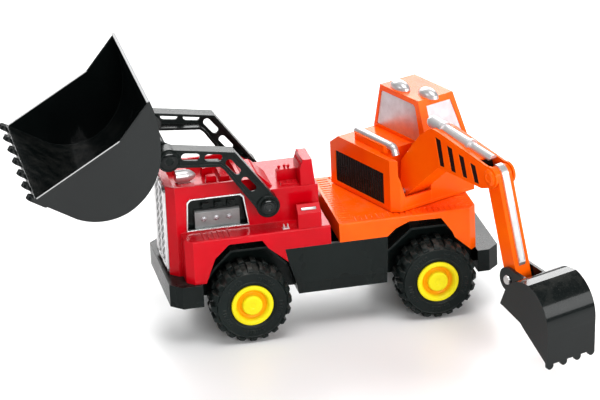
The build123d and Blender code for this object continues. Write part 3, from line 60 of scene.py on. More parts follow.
class Nodes:
    """Short way to add and join the nodes of one tree."""

    def __init__(self, tree):
        self.tree = tree

    def add(self, kind, inputs=None, **settings):
        node = self.tree.nodes.new(kind)
        for key, value in settings.items():
            setattr(node, key, value)
        for key, value in (inputs or {}).items():
            if isinstance(value, bpy.types.NodeSocket):
                self.tree.links.new(value, node.inputs[key])
            else:
                node.inputs[key].default_value = value
        return node

    def noise(self, vector, scale, detail=3.0, roughness=0.55):
        inputs = {"Vector": vector, "Scale": scale, "Detail": detail, "Roughness": roughness}
        return self.add("ShaderNodeTexNoise", inputs).outputs["Fac"]

    def maths(self, operation, a, b=0.0, clamp=False):
        node = self.add("ShaderNodeMath", {0: a, 1: b}, operation=operation, use_clamp=clamp)
        return node.outputs[0]

    def ramp(self, value, low, high, out_low=0.0, out_high=1.0):
        inputs = {0: value, 1: low, 2: high, 3: out_low, 4: out_high}
        return self.add("ShaderNodeMapRange", inputs, clamp=True).outputs[0]

    def mix(self, factor, a, b):
        inputs = {"Factor": factor, 6: a, 7: b}
        return self.add("ShaderNodeMix", inputs, data_type="RGBA").outputs[2]

    def stretched(self, vector, scale):
        return self.add("ShaderNodeMapping", {"Vector": vector, "Scale": scale}).outputs[0]


def new_group(name, inputs, outputs):
    """An empty shader node group with float, colour or vector sockets."""
    group = bpy.data.node_groups.new(name, "ShaderNodeTree")
    for socket, kind in inputs:
        group.interface.new_socket(socket, in_out="INPUT", socket_type=f"NodeSocket{kind}")
    for socket, kind in outputs:
        group.interface.new_socket(socket, in_out="OUTPUT", socket_type=f"NodeSocket{kind}")
    nodes = Nodes(group)
    return group, nodes, nodes.add("NodeGroupInput"), nodes.add("NodeGroupOutput")


def make_moulding_group():
    """Flow marks, fine mould grain and handling marks of an injection-moulded surface."""
    group, n, inside, out = new_group(
        "moulded_surface",
        [("Vector", "Vector"), ("Grain", "Float"), ("Marks", "Float")],
        [("Flow", "Float"), ("Gloss change", "Float"), ("Height", "Float")],
    )
    vector = inside.outputs["Vector"]
    flow = n.ramp(n.noise(vector, 26.0, 3.0), 0.32, 0.68)
    grain = n.noise(vector, 2600.0, 2.0, 0.6)
    swirl = n.noise(n.stretched(vector, (900.0, 70.0, 420.0)), 1.0, 3.0, 0.7)
    scuff = n.noise(n.stretched(vector, (60.0, 800.0, 90.0)), 1.0, 4.0, 0.75)
    patches = n.ramp(n.noise(vector, 60.0, 2.0), 0.45, 0.62)
    scratches = n.ramp(n.maths("MAXIMUM", swirl, scuff), 0.66, 0.72)
    hairlines = n.maths("MULTIPLY", scratches, patches)
    marks = n.maths("MULTIPLY", hairlines, inside.outputs["Marks"])
    gloss = n.maths("ADD", n.maths("MULTIPLY", flow, 0.35), marks)
    grain_height = n.maths("MULTIPLY", grain, inside.outputs["Grain"])
    height = n.maths("SUBTRACT", grain_height, n.maths("MULTIPLY", marks, 0.3))
    n.tree.links.new(flow, out.inputs["Flow"])
    n.tree.links.new(gloss, out.inputs["Gloss change"])
    n.tree.links.new(height, out.inputs["Height"])
    return group


def make_edge_group():
    """How near a point is to an edge, from its rounded and its true normal, broken up by noise."""
    group, n, inside, out = new_group(
        "edge_wear_and_painted_highlight",
        [("Vector", "Vector"), ("Rounded", "Vector"), ("Amount", "Float")],
        [("Edge", "Float")],
    )
    true_normal = n.add("ShaderNodeNewGeometry").outputs["Normal"]
    normals = {0: inside.outputs["Rounded"], 1: true_normal}
    dot = n.add("ShaderNodeVectorMath", normals, operation="DOT_PRODUCT")
    near = n.ramp(dot.outputs["Value"], 0.999, 0.93)
    broken = n.ramp(n.noise(inside.outputs["Vector"], 160.0, 4.0, 0.7), 0.35, 0.7, 0.25, 1.0)
    edge = n.maths("MULTIPLY", n.maths("MULTIPLY", near, broken), inside.outputs["Amount"], clamp=True)
    n.tree.links.new(edge, out.inputs["Edge"])
    return group


def make_dust_group():
    """A little dust where a surface faces up, in soft patches."""
    group, n, inside, out = new_group(
        "settled_dust", [("Vector", "Vector"), ("Amount", "Float")], [("Dust", "Float")]
    )
    normal = n.add("ShaderNodeSeparateXYZ", {0: n.add("ShaderNodeNewGeometry").outputs["Normal"]})
    upward = n.ramp(normal.outputs["Z"], 0.35, 1.0)
    cloud = n.ramp(n.noise(inside.outputs["Vector"], 95.0, 5.0, 0.7), 0.42, 0.75)
    specks = n.ramp(n.noise(inside.outputs["Vector"], 1400.0, 1.0), 0.68, 0.74)
    spread = n.maths("ADD", n.maths("MULTIPLY", cloud, 0.5), specks, clamp=True)
    dust = n.maths("MULTIPLY", n.maths("MULTIPLY", upward, spread), inside.outputs["Amount"])
    n.tree.links.new(dust, out.inputs["Dust"])
    return group


MOULDING = make_moulding_group()
EDGE_WEAR_HIGHLIGHT_GROUP = make_edge_group()
DUST = make_dust_group()
DUST_COLOUR = (0.62, 0.58, 0.53, 1.0)
PLASTIC_EDGE = 0.45 * MM        # soft edge of a moulding
METAL_EDGE = 0.35 * MM
# How strongly edges lighten towards their edge colour: partly wear, partly painted highlight.
EDGE_WEAR_HIGHLIGHT_AMOUNT = 0.5


def start_material(name):
    material = bpy.data.materials.new(name)
    material.use_nodes = True
    material.node_tree.nodes.clear()
    n = Nodes(material.node_tree)
    shader = n.add("ShaderNodeBsdfPrincipled")
    output = n.add("ShaderNodeOutputMaterial")
    n.tree.links.new(shader.outputs[0], output.inputs["Surface"])
    place = n.add("ShaderNodeTexCoord").outputs["Object"]
    return material, n, shader, place


def plastic(name, colour, deep, edge_wear_highlight_colour, gloss, coat=0.0, grain=0.25, marks=0.5, dust=0.12, painted_recess_shade=None):
    """Moulded plastic: colour drifts towards deep, edges towards a lighter edge colour that is partly wear and
    partly painted highlight, gloss is the roughness.

    The recess shade is a painted shade colour for what lies between two distances from the vehicle's middle plane."""
    material, n, shader, place = start_material(name)
    rounded = n.add("ShaderNodeBevel", {"Radius": PLASTIC_EDGE}, samples=6).outputs[0]
    mould = n.add("ShaderNodeGroup", {}, node_tree=MOULDING)
    edge_wear_highlight = n.add("ShaderNodeGroup", {}, node_tree=EDGE_WEAR_HIGHLIGHT_GROUP)
    settled = n.add("ShaderNodeGroup", {}, node_tree=DUST)
    for group, values in (
        (mould, {"Vector": place, "Grain": grain, "Marks": marks}),
        (edge_wear_highlight, {"Vector": place, "Rounded": rounded, "Amount": EDGE_WEAR_HIGHLIGHT_AMOUNT}),
        (settled, {"Vector": place, "Amount": dust}),
    ):
        for key, value in values.items():
            if isinstance(value, bpy.types.NodeSocket):
                n.tree.links.new(value, group.inputs[key])
            else:
                group.inputs[key].default_value = value
    base = n.mix(mould.outputs["Flow"], (*colour, 1.0), (*deep, 1.0))
    # Painted shade: the rims' recess is shaded towards orange between its floor and its edge.
    if painted_recess_shade:
        shade, floor_y, face_y = painted_recess_shade
        from_middle = n.maths("ABSOLUTE", n.add("ShaderNodeSeparateXYZ", {0: place}).outputs["Y"])
        base = n.mix(n.ramp(from_middle, floor_y, face_y, 0.85, 0.0), base, (*shade, 1.0))
    # Edges lightened towards the edge colour: partly wear, partly painted highlight.
    base = n.mix(edge_wear_highlight.outputs["Edge"], base, (*edge_wear_highlight_colour, 1.0))
    base = n.mix(settled.outputs["Dust"], base, DUST_COLOUR)
    rough = n.maths("ADD", n.maths("MULTIPLY", mould.outputs["Gloss change"], 0.16), gloss)
    rough = n.maths("ADD", rough, n.maths("MULTIPLY", settled.outputs["Dust"], 0.5), clamp=True)
    relief = {"Strength": 0.25, "Distance": 0.1 * MM, "Height": mould.outputs["Height"], "Normal": rounded}
    bump = n.add("ShaderNodeBump", relief)
    n.tree.links.new(base, shader.inputs["Base Color"])
    n.tree.links.new(rough, shader.inputs["Roughness"])
    n.tree.links.new(bump.outputs[0], shader.inputs["Normal"])
    shader.inputs["IOR"].default_value = 1.4
    shader.inputs["Specular IOR Level"].default_value = 0.25
    shader.inputs["Coat Weight"].default_value = coat
    shader.inputs["Coat Roughness"].default_value = 0.06
    return material


def metal(name, colour, shade, gloss, brushed=0.0, metallic=1.0):
    """Plated or drawn metal with faint smears, and fine lines along X when brushed."""
    material, n, shader, place = start_material(name)
    rounded = n.add("ShaderNodeBevel", {"Radius": METAL_EDGE}, samples=6).outputs[0]
    smears = n.ramp(n.noise(place, 120.0, 4.0, 0.65), 0.35, 0.7)
    lines = n.noise(n.stretched(place, (40.0, 3000.0, 3000.0)), 1.0, 2.0)
    base = n.mix(smears, (*colour, 1.0), (*shade, 1.0))
    rough = n.maths("ADD", n.maths("MULTIPLY", smears, 0.12), gloss)
    rough = n.maths("ADD", rough, n.maths("MULTIPLY", lines, 0.2 * brushed), clamp=True)
    relief = {"Strength": 0.12 + 0.3 * brushed, "Distance": 0.05 * MM, "Height": lines, "Normal": rounded}
    bump = n.add("ShaderNodeBump", relief)
    n.tree.links.new(base, shader.inputs["Base Color"])
    n.tree.links.new(rough, shader.inputs["Roughness"])
    n.tree.links.new(bump.outputs[0], shader.inputs["Normal"])
    shader.inputs["Metallic"].default_value = metallic
    return material


# Painted shade for the rims' recess: its orange colour, and the distances from the middle plane of its floor and
# its edge.
RIM_RECESS_PAINTED_SHADE = ((0.9, 0.34, 0.0), 0.0506, 0.0532)

# Each plastic's third colour is its lighter edge colour: partly wear, partly painted highlight.
MATERIALS = {
    "black_plastic": plastic(
        "moulded_black", (0.006, 0.0095, 0.009), (0.011, 0.016, 0.015), (0.06, 0.07, 0.068), 0.24
    ),
    "gloss_black": plastic(
        "bucket_black", (0.004, 0.006, 0.006), (0.008, 0.011, 0.011), (0.05, 0.06, 0.06), 0.17, coat=0.4
    ),
    "red_plastic": plastic(
        "moulded_red", (0.62, 0.0, 0.012), (0.5, 0.0, 0.008), (0.8, 0.08, 0.1), 0.2, coat=0.08
    ),
    "orange_plastic": plastic(
        "moulded_orange", (1.0, 0.15, 0.002), (0.95, 0.11, 0.001), (1.0, 0.34, 0.04), 0.2, coat=0.08
    ),
    "yellow_plastic": plastic(
        "moulded_yellow", (0.82, 0.74, 0.02), (0.76, 0.64, 0.015), (0.92, 0.88, 0.3), 0.26, painted_recess_shade=RIM_RECESS_PAINTED_SHADE
    ),
    "chrome_trim": metal("silver_plating", (0.72, 0.71, 0.71), (0.6, 0.59, 0.6), 0.3, metallic=0.7),
    "tyre_rubber": plastic(
        "soft_tyre",
        (0.007, 0.011, 0.0105),
        (0.013, 0.019, 0.018),
        (0.05, 0.06, 0.058),
        0.36,
        grain=0.8,
        marks=0.2,
        dust=0.3,
    ),
    "steel_pins": metal("drawn_steel", (0.56, 0.56, 0.58), (0.42, 0.42, 0.44), 0.28, brushed=1.0),
    "zinc_screws": metal("zinc_plating", (0.62, 0.62, 0.58), (0.5, 0.5, 0.46), 0.32, brushed=0.4),
}

# Pieces whose finish differs from the rest of their slot.
OWN_FINISH = {
    "cab_windows": metal("silvered_window", (0.66, 0.6, 0.62), (0.56, 0.5, 0.52), 0.32, metallic=0.85),
    "engine_block": metal(
        "cast_silver", (0.3, 0.31, 0.31), (0.24, 0.25, 0.25), 0.4, brushed=0.5, metallic=0.5
    ),
    "engine_window_frame_left": metal("window_trim", (0.66, 0.68, 0.68), (0.5, 0.52, 0.52), 0.24),
}
OWN_FINISH["engine_window_frame_right"] = OWN_FINISH["engine_window_frame_left"]

for part in record["subparts"]:
    node = frame["nodes"][part["node"]]
    node.data.materials.clear()
    node.data.materials.append(OWN_FINISH.get(part["node"], MATERIALS[part["material_slot"]]))


# ------------------------------------------------------------------ piece building blocks


def add_piece(mesh, name, body, slot, replaces=(), smooth=True):
    """Turn a finished bmesh into an object that rides on a body and takes a slot's finish."""
    bmesh.ops.remove_doubles(mesh, verts=mesh.verts, dist=1e-6)
    bmesh.ops.recalc_face_normals(mesh, faces=mesh.faces)
    data = bpy.data.meshes.new(name)
    mesh.to_mesh(data)
    mesh.free()
    if smooth:
        data.shade_smooth()
        data.set_sharp_from_angle(angle=math.radians(35))
    data.materials.append(MATERIALS[slot])
    piece = bpy.data.objects.new(name, data)
    bpy.context.scene.collection.objects.link(piece)
    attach(piece, body)
    if replaces:
        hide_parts(*replaces)
    return piece


def round_edges(mesh, verts, radius, segments=2):
    """Bevel every edge whose two ends are among the vertices."""
    chosen = set(verts)
    edges = [e for e in mesh.edges if e.verts[0] in chosen and e.verts[1] in chosen]
    bmesh.ops.bevel(
        mesh, geom=edges, offset=radius, segments=segments, profile=0.5, affect="EDGES", material=-1
    )


def add_block(mesh, centre, size, radius, segments=2):
    """A box with rounded edges."""
    made = bmesh.ops.create_cube(mesh, size=1.0)["verts"]
    bmesh.ops.scale(mesh, verts=made, vec=size)
    bmesh.ops.translate(mesh, verts=made, vec=centre)
    if radius:
        round_edges(mesh, made, radius, segments)


def lathe(points, steps, round_by=0.0):
    """Spin (radius, along) points about the Y axis; ring edges are rounded by round_by."""
    mesh = bmesh.new()
    verts = [mesh.verts.new((radius, along, 0)) for radius, along in points]
    edges = [mesh.edges.new(pair) for pair in zip(verts, verts[1:])]
    bmesh.ops.spin(
        mesh,
        geom=verts + edges,
        cent=(0, 0, 0),
        axis=(0, 1, 0),
        angle=2 * math.pi,
        steps=steps,
        use_merge=True,
    )
    bmesh.ops.remove_doubles(mesh, verts=mesh.verts, dist=1e-6)
    bmesh.ops.recalc_face_normals(mesh, faces=mesh.faces)
    if round_by:
        rings = []
        for edge in mesh.edges:
            a, b = edge.verts[0].co, edge.verts[1].co
            same_ring = abs(a.y - b.y) < 1e-6 and abs(a.xz.length - b.xz.length) < 1e-6
            if same_ring and a.xz.length > 1e-5 and edge.calc_face_angle(0) > math.radians(24):
                rings.append(edge)
        bmesh.ops.bevel(
            mesh,
            geom=rings,
            offset=round_by,
            segments=3,
            profile=0.5,
            affect="EDGES",
            material=-1,
            clamp_overlap=True,
        )
    return mesh


def spin_copies(mesh, geom, count, start=0.0):
    """Repeat geometry round the Y axis; start turns the whole ring."""
    if start:
        verts = [g for g in geom if isinstance(g, bmesh.types.BMVert)]
        bmesh.ops.rotate(mesh, verts=verts, cent=(0, 0, 0), matrix=Matrix.Rotation(start, 3, "Y"))
    bmesh.ops.spin(
        mesh,
        geom=geom,
        cent=(0, 0, 0),
        axis=(0, 1, 0),
        angle=2 * math.pi * (count - 1) / count,
        steps=count - 1,
        use_duplicate=True,
    )


def place(mesh, matrix):
    bmesh.ops.transform(mesh, matrix=matrix, verts=mesh.verts)


# ------------------------------------------------------------------ tyres and rims

BEAD_R = 14.7 * MM
LUGS = 20
SIDE_MARKS = (1.6, 0.9, 2.2, 0.9, 1.3, 1.9)     # widths of the plain raised blocks in one group
MARK_GROUPS = 5


def tyre_carcass():
    """Rounded carcass with a bead, a bulging side wall and two thin raised rings."""
    side = (
        (BEAD_R, 9.6),
        (BEAD_R, 10.9),
        (15.3, 11.4),
        (16.4, 11.55),
        (16.6, 11.85),
        (17.2, 11.85),
        (17.4, 11.55),
        (20.0, 11.6),
        (23.0, 11.5),
        (23.2, 11.75),
        (23.7, 11.7),
        (23.9, 11.3),
        (25.0, 10.4),
        (25.7, 8.6),
        (25.9, 4.0),
    )
    outer = [(r if r is BEAD_R else r * MM, y * MM) for r, y in side]
    mirrored = [(r, -y) for r, y in reversed(outer)]
    return lathe(outer + mirrored + [outer[0]], 96)


def add_lugs(mesh, row):
    """One ring of chunky lugs that run from the middle of the tread over the shoulder."""
    lugs = bmesh.new()
    section = ((25.2, 0.5), (27.95, 0.7), (27.95, 8.0), (27.0, 9.9), (25.2, 11.4), (24.4, 11.5), (24.6, 9.6))
    points = [(radius * MM, along * MM) for radius, along in section]
    verts = [lugs.verts.new((radius, along, 0)) for radius, along in points]
    face = lugs.faces.new(verts)
    made = bmesh.ops.extrude_face_region(lugs, geom=[face])["geom"]
    far = [g for g in made if isinstance(g, bmesh.types.BMVert)]
    half_width = 2.35 * MM
    bmesh.ops.translate(lugs, verts=verts, vec=(0, 0, -half_width))
    bmesh.ops.translate(lugs, verts=far, vec=(0, 0, half_width))
    for vert in verts + far:
        if vert.co.x > 27.0 * MM:
            vert.co.z *= 0.82
    bmesh.ops.recalc_face_normals(lugs, faces=lugs.faces)
    round_edges(lugs, lugs.verts, 0.28 * MM, segments=1)
    if row < 0:
        place(lugs, Matrix.Scale(-1, 4, (0, 1, 0)))
    geom = list(lugs.verts) + list(lugs.edges) + list(lugs.faces)
    spin_copies(lugs, geom, LUGS, start=0.0 if row > 0 else math.pi / LUGS)
    merge_into(mesh, lugs)


def add_side_marks(mesh):
    """Plain raised blocks round the side wall, in evenly spaced groups that spell nothing."""
    marks = bmesh.new()
    turn = 0.0
    for width in SIDE_MARKS:
        turn += math.radians(3.1 + 1.2 * width)
        before = set(marks.verts)
        add_block(marks, (19.7 * MM, 11.5 * MM, 0), (2.6 * MM, 0.7 * MM, width * MM), 0.2 * MM, segments=1)
        new = [v for v in marks.verts if v not in before]
        bmesh.ops.rotate(marks, verts=new, cent=(0, 0, 0), matrix=Matrix.Rotation(turn, 3, "Y"))
        turn += math.radians(1.2 * width)
    geom = list(marks.verts) + list(marks.edges) + list(marks.faces)
    spin_copies(marks, geom, MARK_GROUPS)
    merge_into(mesh, marks)


def merge_into(mesh, other):
    """Move another bmesh's geometry into this one."""
    data = bpy.data.meshes.new("joining")
    other.to_mesh(data)
    other.free()
    mesh.from_mesh(data)
    bpy.data.meshes.remove(data)


def make_tyre(node, body):
    low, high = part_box(node)
    side = 1 if low.y > 0 else -1
    mesh = tyre_carcass()
    for row in (1, -1):
        add_lugs(mesh, row)
    add_side_marks(mesh)
    if side < 0:
        place(mesh, Matrix.Rotation(math.pi, 4, "Z"))
    place(mesh, Matrix.Translation((low + high) / 2))
    add_piece(mesh, f"{node}_knobbly", body, "tyre_rubber", replaces=[node])


def make_rim(node, body):
    """Dished rim: flat flange, a deep rounded recess and a raised round hub."""
    low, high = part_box(node)
    side = 1 if low.y > 0 else -1
    width = high.y - low.y
    section = (
        (2.0, 0.0),
        (7.0, 0.0),
        (7.0, width / MM - 6.0),
        (12.5, width / MM - 6.0),
        (12.5, 0.0),
        (14.6, 0.0),
        (14.6, width / MM - 0.9),
        (14.0, width / MM - 0.1),
        (12.0, width / MM),
        (11.2, width / MM - 0.9),
        (9.9, width / MM - 4.0),
        (8.4, width / MM - 4.4),
        (7.2, width / MM - 3.2),
        (6.9, width / MM - 0.7),
        (6.1, width / MM),
        (2.4, width / MM),
        (1.8, width / MM - 0.35),
        (0.0, width / MM - 0.35),
    )
    mesh = lathe([(radius * MM, along * MM) for radius, along in section], 96, round_by=0.35 * MM)
    inner_face = low.y if side > 0 else high.y
    if side < 0:
        place(mesh, Matrix.Rotation(math.pi, 4, "Z"))
    centre = (low + high) / 2
    place(mesh, Matrix.Translation((centre.x, inner_face, centre.z)))
    add_piece(mesh, f"{node}_dished", body, "yellow_plastic", replaces=[node])


for end in ("front", "rear"):
    for hand in ("left", "right"):
        make_tyre(f"{end}_{hand}_tyre", f"{end}_wheels")
        make_rim(f"{end}_{hand}_rim", f"{end}_wheels")


# ------------------------------------------------------------------ radiator grille

GRILLE_BORDER = 2.2 * MM
MESH_PITCH = 5.4 * MM
MESH_BAR = 1.0 * MM
MESH_DEPTH = 0.2 * MM
MESH_LEAN = math.radians(52)
MESH_CROSSING = 0.03 * MM                       # how far the two sets of bars lie apart
MESH_COLUMNS = ((-13.0, -1.6), (1.6, 13.0))     # y of the two columns of mesh


def clip(mesh, point, normal):
    """Cut away what lies on the side that the normal points to, and close the cut."""
    geom = list(mesh.verts) + list(mesh.edges) + list(mesh.faces)
    cut = bmesh.ops.bisect_plane(mesh, geom=geom, plane_co=point, plane_no=normal, clear_outer=True)
    rim = [g for g in cut["geom_cut"] if isinstance(g, bmesh.types.BMEdge)]
    bmesh.ops.holes_fill(mesh, edges=rim)


def diamond_mesh(y0, y1, z0, z1, x):
    """Crossing slanted bars between two heights and two widths, at a depth x."""
    mesh = bmesh.new()
    reach = (y1 - y0) + (z1 - z0)
    count = int(reach / MESH_PITCH) + 2
    for lean in (1, -1):
        turn = Matrix.Rotation(lean * MESH_LEAN, 3, "X")
        for i in range(-count, count):
            before = set(mesh.verts)
            add_block(mesh, (0, 0, 0), (MESH_DEPTH, MESH_BAR, 2 * reach), 0)
            new = [v for v in mesh.verts if v not in before]
            bmesh.ops.rotate(mesh, verts=new, cent=(0, 0, 0), matrix=turn)
            shift = (x + lean * MESH_CROSSING, (y0 + y1) / 2, z0 + i * MESH_PITCH)
            bmesh.ops.translate(mesh, verts=new, vec=shift)
    clip(mesh, (x, y0, z0), (0, -1, 0))
    clip(mesh, (x, y1, z0), (0, 1, 0))
    clip(mesh, (x, y0, z0), (0, 0, -1))
    clip(mesh, (x, y0, z1), (0, 0, 1))
    return mesh


def make_grille():
    low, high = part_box("radiator_grille")
    x0, x1 = low.x, high.x
    z0, z1 = low.z + GRILLE_BORDER, high.z - GRILLE_BORDER
    mesh = bmesh.new()
    middle_z, height = (low.z + high.z) / 2, high.z - low.z
    add_block(mesh, (x0 + 0.2 * MM, 0, middle_z), (0.4 * MM, high.y - low.y, height), 0)
    edges = [low.y] + [y * MM for column in MESH_COLUMNS for y in column] + [high.y]
    for y0, y1 in zip(edges[0::2], edges[1::2]):
        add_block(mesh, ((x0 + x1) / 2, (y0 + y1) / 2, middle_z), (x1 - x0, y1 - y0, height), 0.3 * MM)
    for z in (low.z + GRILLE_BORDER / 2, high.z - GRILLE_BORDER / 2):
        add_block(mesh, ((x0 + x1) / 2, 0, z), (x1 - x0, high.y - low.y, GRILLE_BORDER), 0.3 * MM)
    for y0, y1 in MESH_COLUMNS:
        merge_into(mesh, diamond_mesh(y0 * MM, y1 * MM, z0, z1, x1 - 0.3 * MM))
    add_piece(mesh, "radiator_mesh", "vehicle", "chrome_trim", replaces=["radiator_grille"], smooth=False)
    backing = bmesh.new()
    for y0, y1 in MESH_COLUMNS:
        size = (0.2 * MM, (y1 - y0) * MM, z1 - z0)
        add_block(backing, (x1 - 0.5 * MM, (y0 + y1) / 2 * MM, (z0 + z1) / 2), size, 0)
    add_piece(backing, "radiator_dark_core", "vehicle", "black_plastic", smooth=False)


make_grille()


# ------------------------------------------------------------------ engine bay details


def along_y(side, place_at):
    """Matrix that stands a lathed piece (its top towards +Y) on a side wall."""
    turn = Matrix.Identity(4) if side > 0 else Matrix.Rotation(math.pi, 4, "Z")
    return Matrix.Translation(place_at) @ turn


def make_engine_bolts():
    """Domed bolts on a washer, with a dimple, on the engine block's two faces."""
    low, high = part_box("engine_bolts")
    radius = 1.7 * MM
    washer = ((1.9, -0.1), (1.85, 0.2), (1.4, 0.25))
    head = ((1.3, 0.6), (1.0, 0.75), (0.55, 0.75), (0.45, 0.3), (0.0, 0.3))
    mesh = bmesh.new()
    for side in (1, -1):
        face_y = (high.y if side > 0 else -low.y) - 0.8 * MM
        for i in range(3):
            x = low.x + radius + i * (high.x - low.x - 2 * radius) / 2
            bolt = lathe([(r * MM, a * MM) for r, a in washer + head], 24)
            place(bolt, along_y(side, (x, side * face_y, (low.z + high.z) / 2)))
            merge_into(mesh, bolt)
    add_piece(mesh, "engine_bolt_heads", "vehicle", "steel_pins", replaces=["engine_bolts"])


def make_manifold_nuts():
    """Six-sided nuts on studs along the dark manifold, above the engine block."""
    block_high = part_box("engine_block")[1]
    mesh = bmesh.new()
    for side in (1, -1):
        for i in range(3):
            x = block_high.x - (5.5 + 9.6 * i) * MM
            nut = lathe([(0.0, 0.9 * MM), (1.2 * MM, 0.9 * MM), (1.2 * MM, 0.0)], 6)
            stud = lathe([(0.0, 1.5 * MM), (0.5 * MM, 1.5 * MM), (0.6 * MM, 0.0)], 16)
            merge_into(nut, stud)
            place(nut, along_y(side, (x, side * 22.4 * MM, block_high.z + 3.0 * MM)))
            merge_into(mesh, nut)
    add_piece(mesh, "manifold_nuts", "vehicle", "black_plastic", smooth=False)


make_engine_bolts()
make_manifold_nuts()


# ------------------------------------------------------------------ cab floor and deck details


def make_seat_studs():
    """Row of small studs along the slanted front of the seat back."""
    low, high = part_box("seat_back")
    mesh = bmesh.new()
    for i in range(5):
        section = ((0.0, 0.6), (0.5, 0.55), (0.8, 0.2), (0.8, -0.3))
        stud = lathe([(r * MM, a * MM) for r, a in section], 16)
        place(stud, Matrix.Rotation(math.radians(-72), 4, "Z"))
        y = low.y + (3.2 + 3.6 * i) * MM
        place(stud, Matrix.Translation((high.x - 1.0 * MM, y, high.z - 3.4 * MM)))
        merge_into(mesh, stud)
    ridge = bmesh.new()
    centre = (high.x - 2.5 * MM, (low.y + high.y) / 2, high.z)
    add_block(ridge, centre, (1.0 * MM, high.y - low.y, 0.5 * MM), 0.2 * MM)
    merge_into(mesh, ridge)
    add_piece(mesh, "seat_back_studs", "vehicle", "red_plastic")


def make_box_highlight_bars():
    """Chrome bar let into the sloping top of each side box, a painted highlight standing in for the shine on its
    slot.
    """
    for hand, side in (("left", 1), ("right", -1)):
        low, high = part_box(f"side_box_{hand}")
        mesh = bmesh.new()
        add_block(mesh, (0, 0, 0), (10.4 * MM, 2.0 * MM, 0.9 * MM), 0.35 * MM)
        slope = math.atan2(5.0, 5.2)
        place(mesh, Matrix.Rotation(-side * slope, 4, "X"))
        outer_y = high.y if side > 0 else low.y
        place(mesh, Matrix.Translation(((low.x + high.x) / 2, outer_y - side * 2.8 * MM, high.z - 2.6 * MM)))
        add_piece(mesh, f"side_box_painted_highlight_{hand}", "vehicle", "chrome_trim")


def make_deck_brackets():
    """Small silver bracket on the red deck beside the hood, a plate with two upright ears."""
    low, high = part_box("side_box_left")
    deck = low.z
    x = high.x + 8.0 * MM
    for hand, side in (("left", 1), ("right", -1)):
        mesh = bmesh.new()
        y = side * 38.5 * MM
        add_block(mesh, (x, y, deck + 0.3 * MM), (5.0 * MM, 4.0 * MM, 0.6 * MM), 0.2 * MM)
        for shift in (-1.4, 1.4):
            add_block(mesh, (x + shift * MM, y, deck + 1.8 * MM), (0.8 * MM, 2.4 * MM, 3.0 * MM), 0.25 * MM)
        add_piece(mesh, f"deck_bracket_{hand}", "vehicle", "chrome_trim")


make_seat_studs()
make_box_highlight_bars()
make_deck_brackets()


# ------------------------------------------------------------------ bosses of the loader arms


def make_boss_trim():
    """Ring round each boss of the loader arms, and a domed cap on each pivot."""
    shaft_low, shaft_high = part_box("bucket_shaft")
    for hand, side in (("left", 1), ("right", -1)):
        post_low, post_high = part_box(f"loader_pivot_post_{hand}")
        pivot = (post_low + post_high) / 2
        head_y = post_high.y if side > 0 else post_low.y
        arm_low, arm_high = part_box(f"loader_arm_{hand}")
        arm_y = arm_high.y if side > 0 else arm_low.y
        ring = lathe([(7.9, -0.2), (7.9, 0.35), (7.5, 0.55), (6.7, 0.55), (6.3, 0.2), (6.3, -0.2)], 48)
        place(ring, Matrix.Scale(MM, 4))
        place(ring, along_y(side, (pivot.x, arm_y, pivot.z)))
        add_piece(ring, f"arm_boss_ring_{hand}", "loader_arms", "black_plastic")
        cap = lathe([(5.1, -0.2), (5.0, 0.25), (4.2, 0.7), (2.6, 0.75), (2.2, 0.3), (0.0, 0.3)], 48)
        place(cap, Matrix.Scale(MM, 4))
        place(cap, along_y(side, (pivot.x, head_y - side * 0.1 * MM, pivot.z)))
        add_piece(cap, f"pivot_cap_{hand}", "vehicle", "gloss_black")
        end_y = shaft_high.y if side > 0 else shaft_low.y
        hub = (shaft_low + shaft_high) / 2
        knob = lathe([(7.0, -1.5), (6.9, -0.6), (5.6, 0.2), (2.8, 0.5), (2.4, 0.15), (0.0, 0.15)], 48)
        place(knob, Matrix.Scale(MM, 4))
        place(knob, along_y(side, (hub.x, end_y - side * 0.2 * MM, hub.z)))
        add_piece(knob, f"bucket_shaft_cap_{hand}", "loader_arms", "gloss_black")


make_boss_trim()


# ------------------------------------------------------------------ turret frame and its details

turret_pivot = Vector(joints["turret_swing"]["pos_m"])
across = Vector(joints["boom_lift"]["axis"])
ALONG = Vector((across.y, -across.x, 0)).normalized()
TURRET_TO_WORLD = Matrix.Translation((turret_pivot.x, turret_pivot.y, 0)) @ Matrix.Rotation(
    math.atan2(ALONG.y, ALONG.x), 4, "Z"
)


LAMP_PLACES = ((-9.0, 15.8), (15.0, 22.0))      # along and across the turret from its pivot, mm
LAMP_SIZE = (9.6, 5.0, 5.6)                     # half length, half width and height of a dome, mm
LAMP_SKIRT = (9.7, 5.1, 0.8)
ELBOW_HALF = 8.0 * MM                           # half width of the boom at the elbow
RIDGE_OFFSET = 2.2 * MM
RIDGE_HEIGHT = 7.7 * MM                         # of the ridges over the line from the elbow to the hoe hinge


def make_roof_lamps():
    """Two long domed lamps that lie along the cab roof."""
    roof_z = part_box("roof_lamps")[0].z
    for i, (u, v) in enumerate(LAMP_PLACES):
        mesh = bmesh.new()
        bmesh.ops.create_uvsphere(mesh, u_segments=40, v_segments=24, radius=1.0)
        place(mesh, Matrix.Diagonal((*[size * MM for size in LAMP_SIZE], 1.0)))
        clip(mesh, (0, 0, 0), (0, 0, -1))
        skirt = bmesh.new()
        bmesh.ops.create_cone(skirt, cap_ends=True, segments=48, radius1=1.0, radius2=0.97, depth=1.0)
        place(skirt, Matrix.Diagonal((*[size * MM for size in LAMP_SKIRT], 1.0)))
        merge_into(mesh, skirt)
        place(mesh, TURRET_TO_WORLD @ Matrix.Translation((u * MM, v * MM, roof_z)))
        nodes = ["roof_lamps"] if i == 0 else []
        add_piece(mesh, f"roof_lamp_dome_{i + 1}", "turret", "chrome_trim", replaces=nodes)


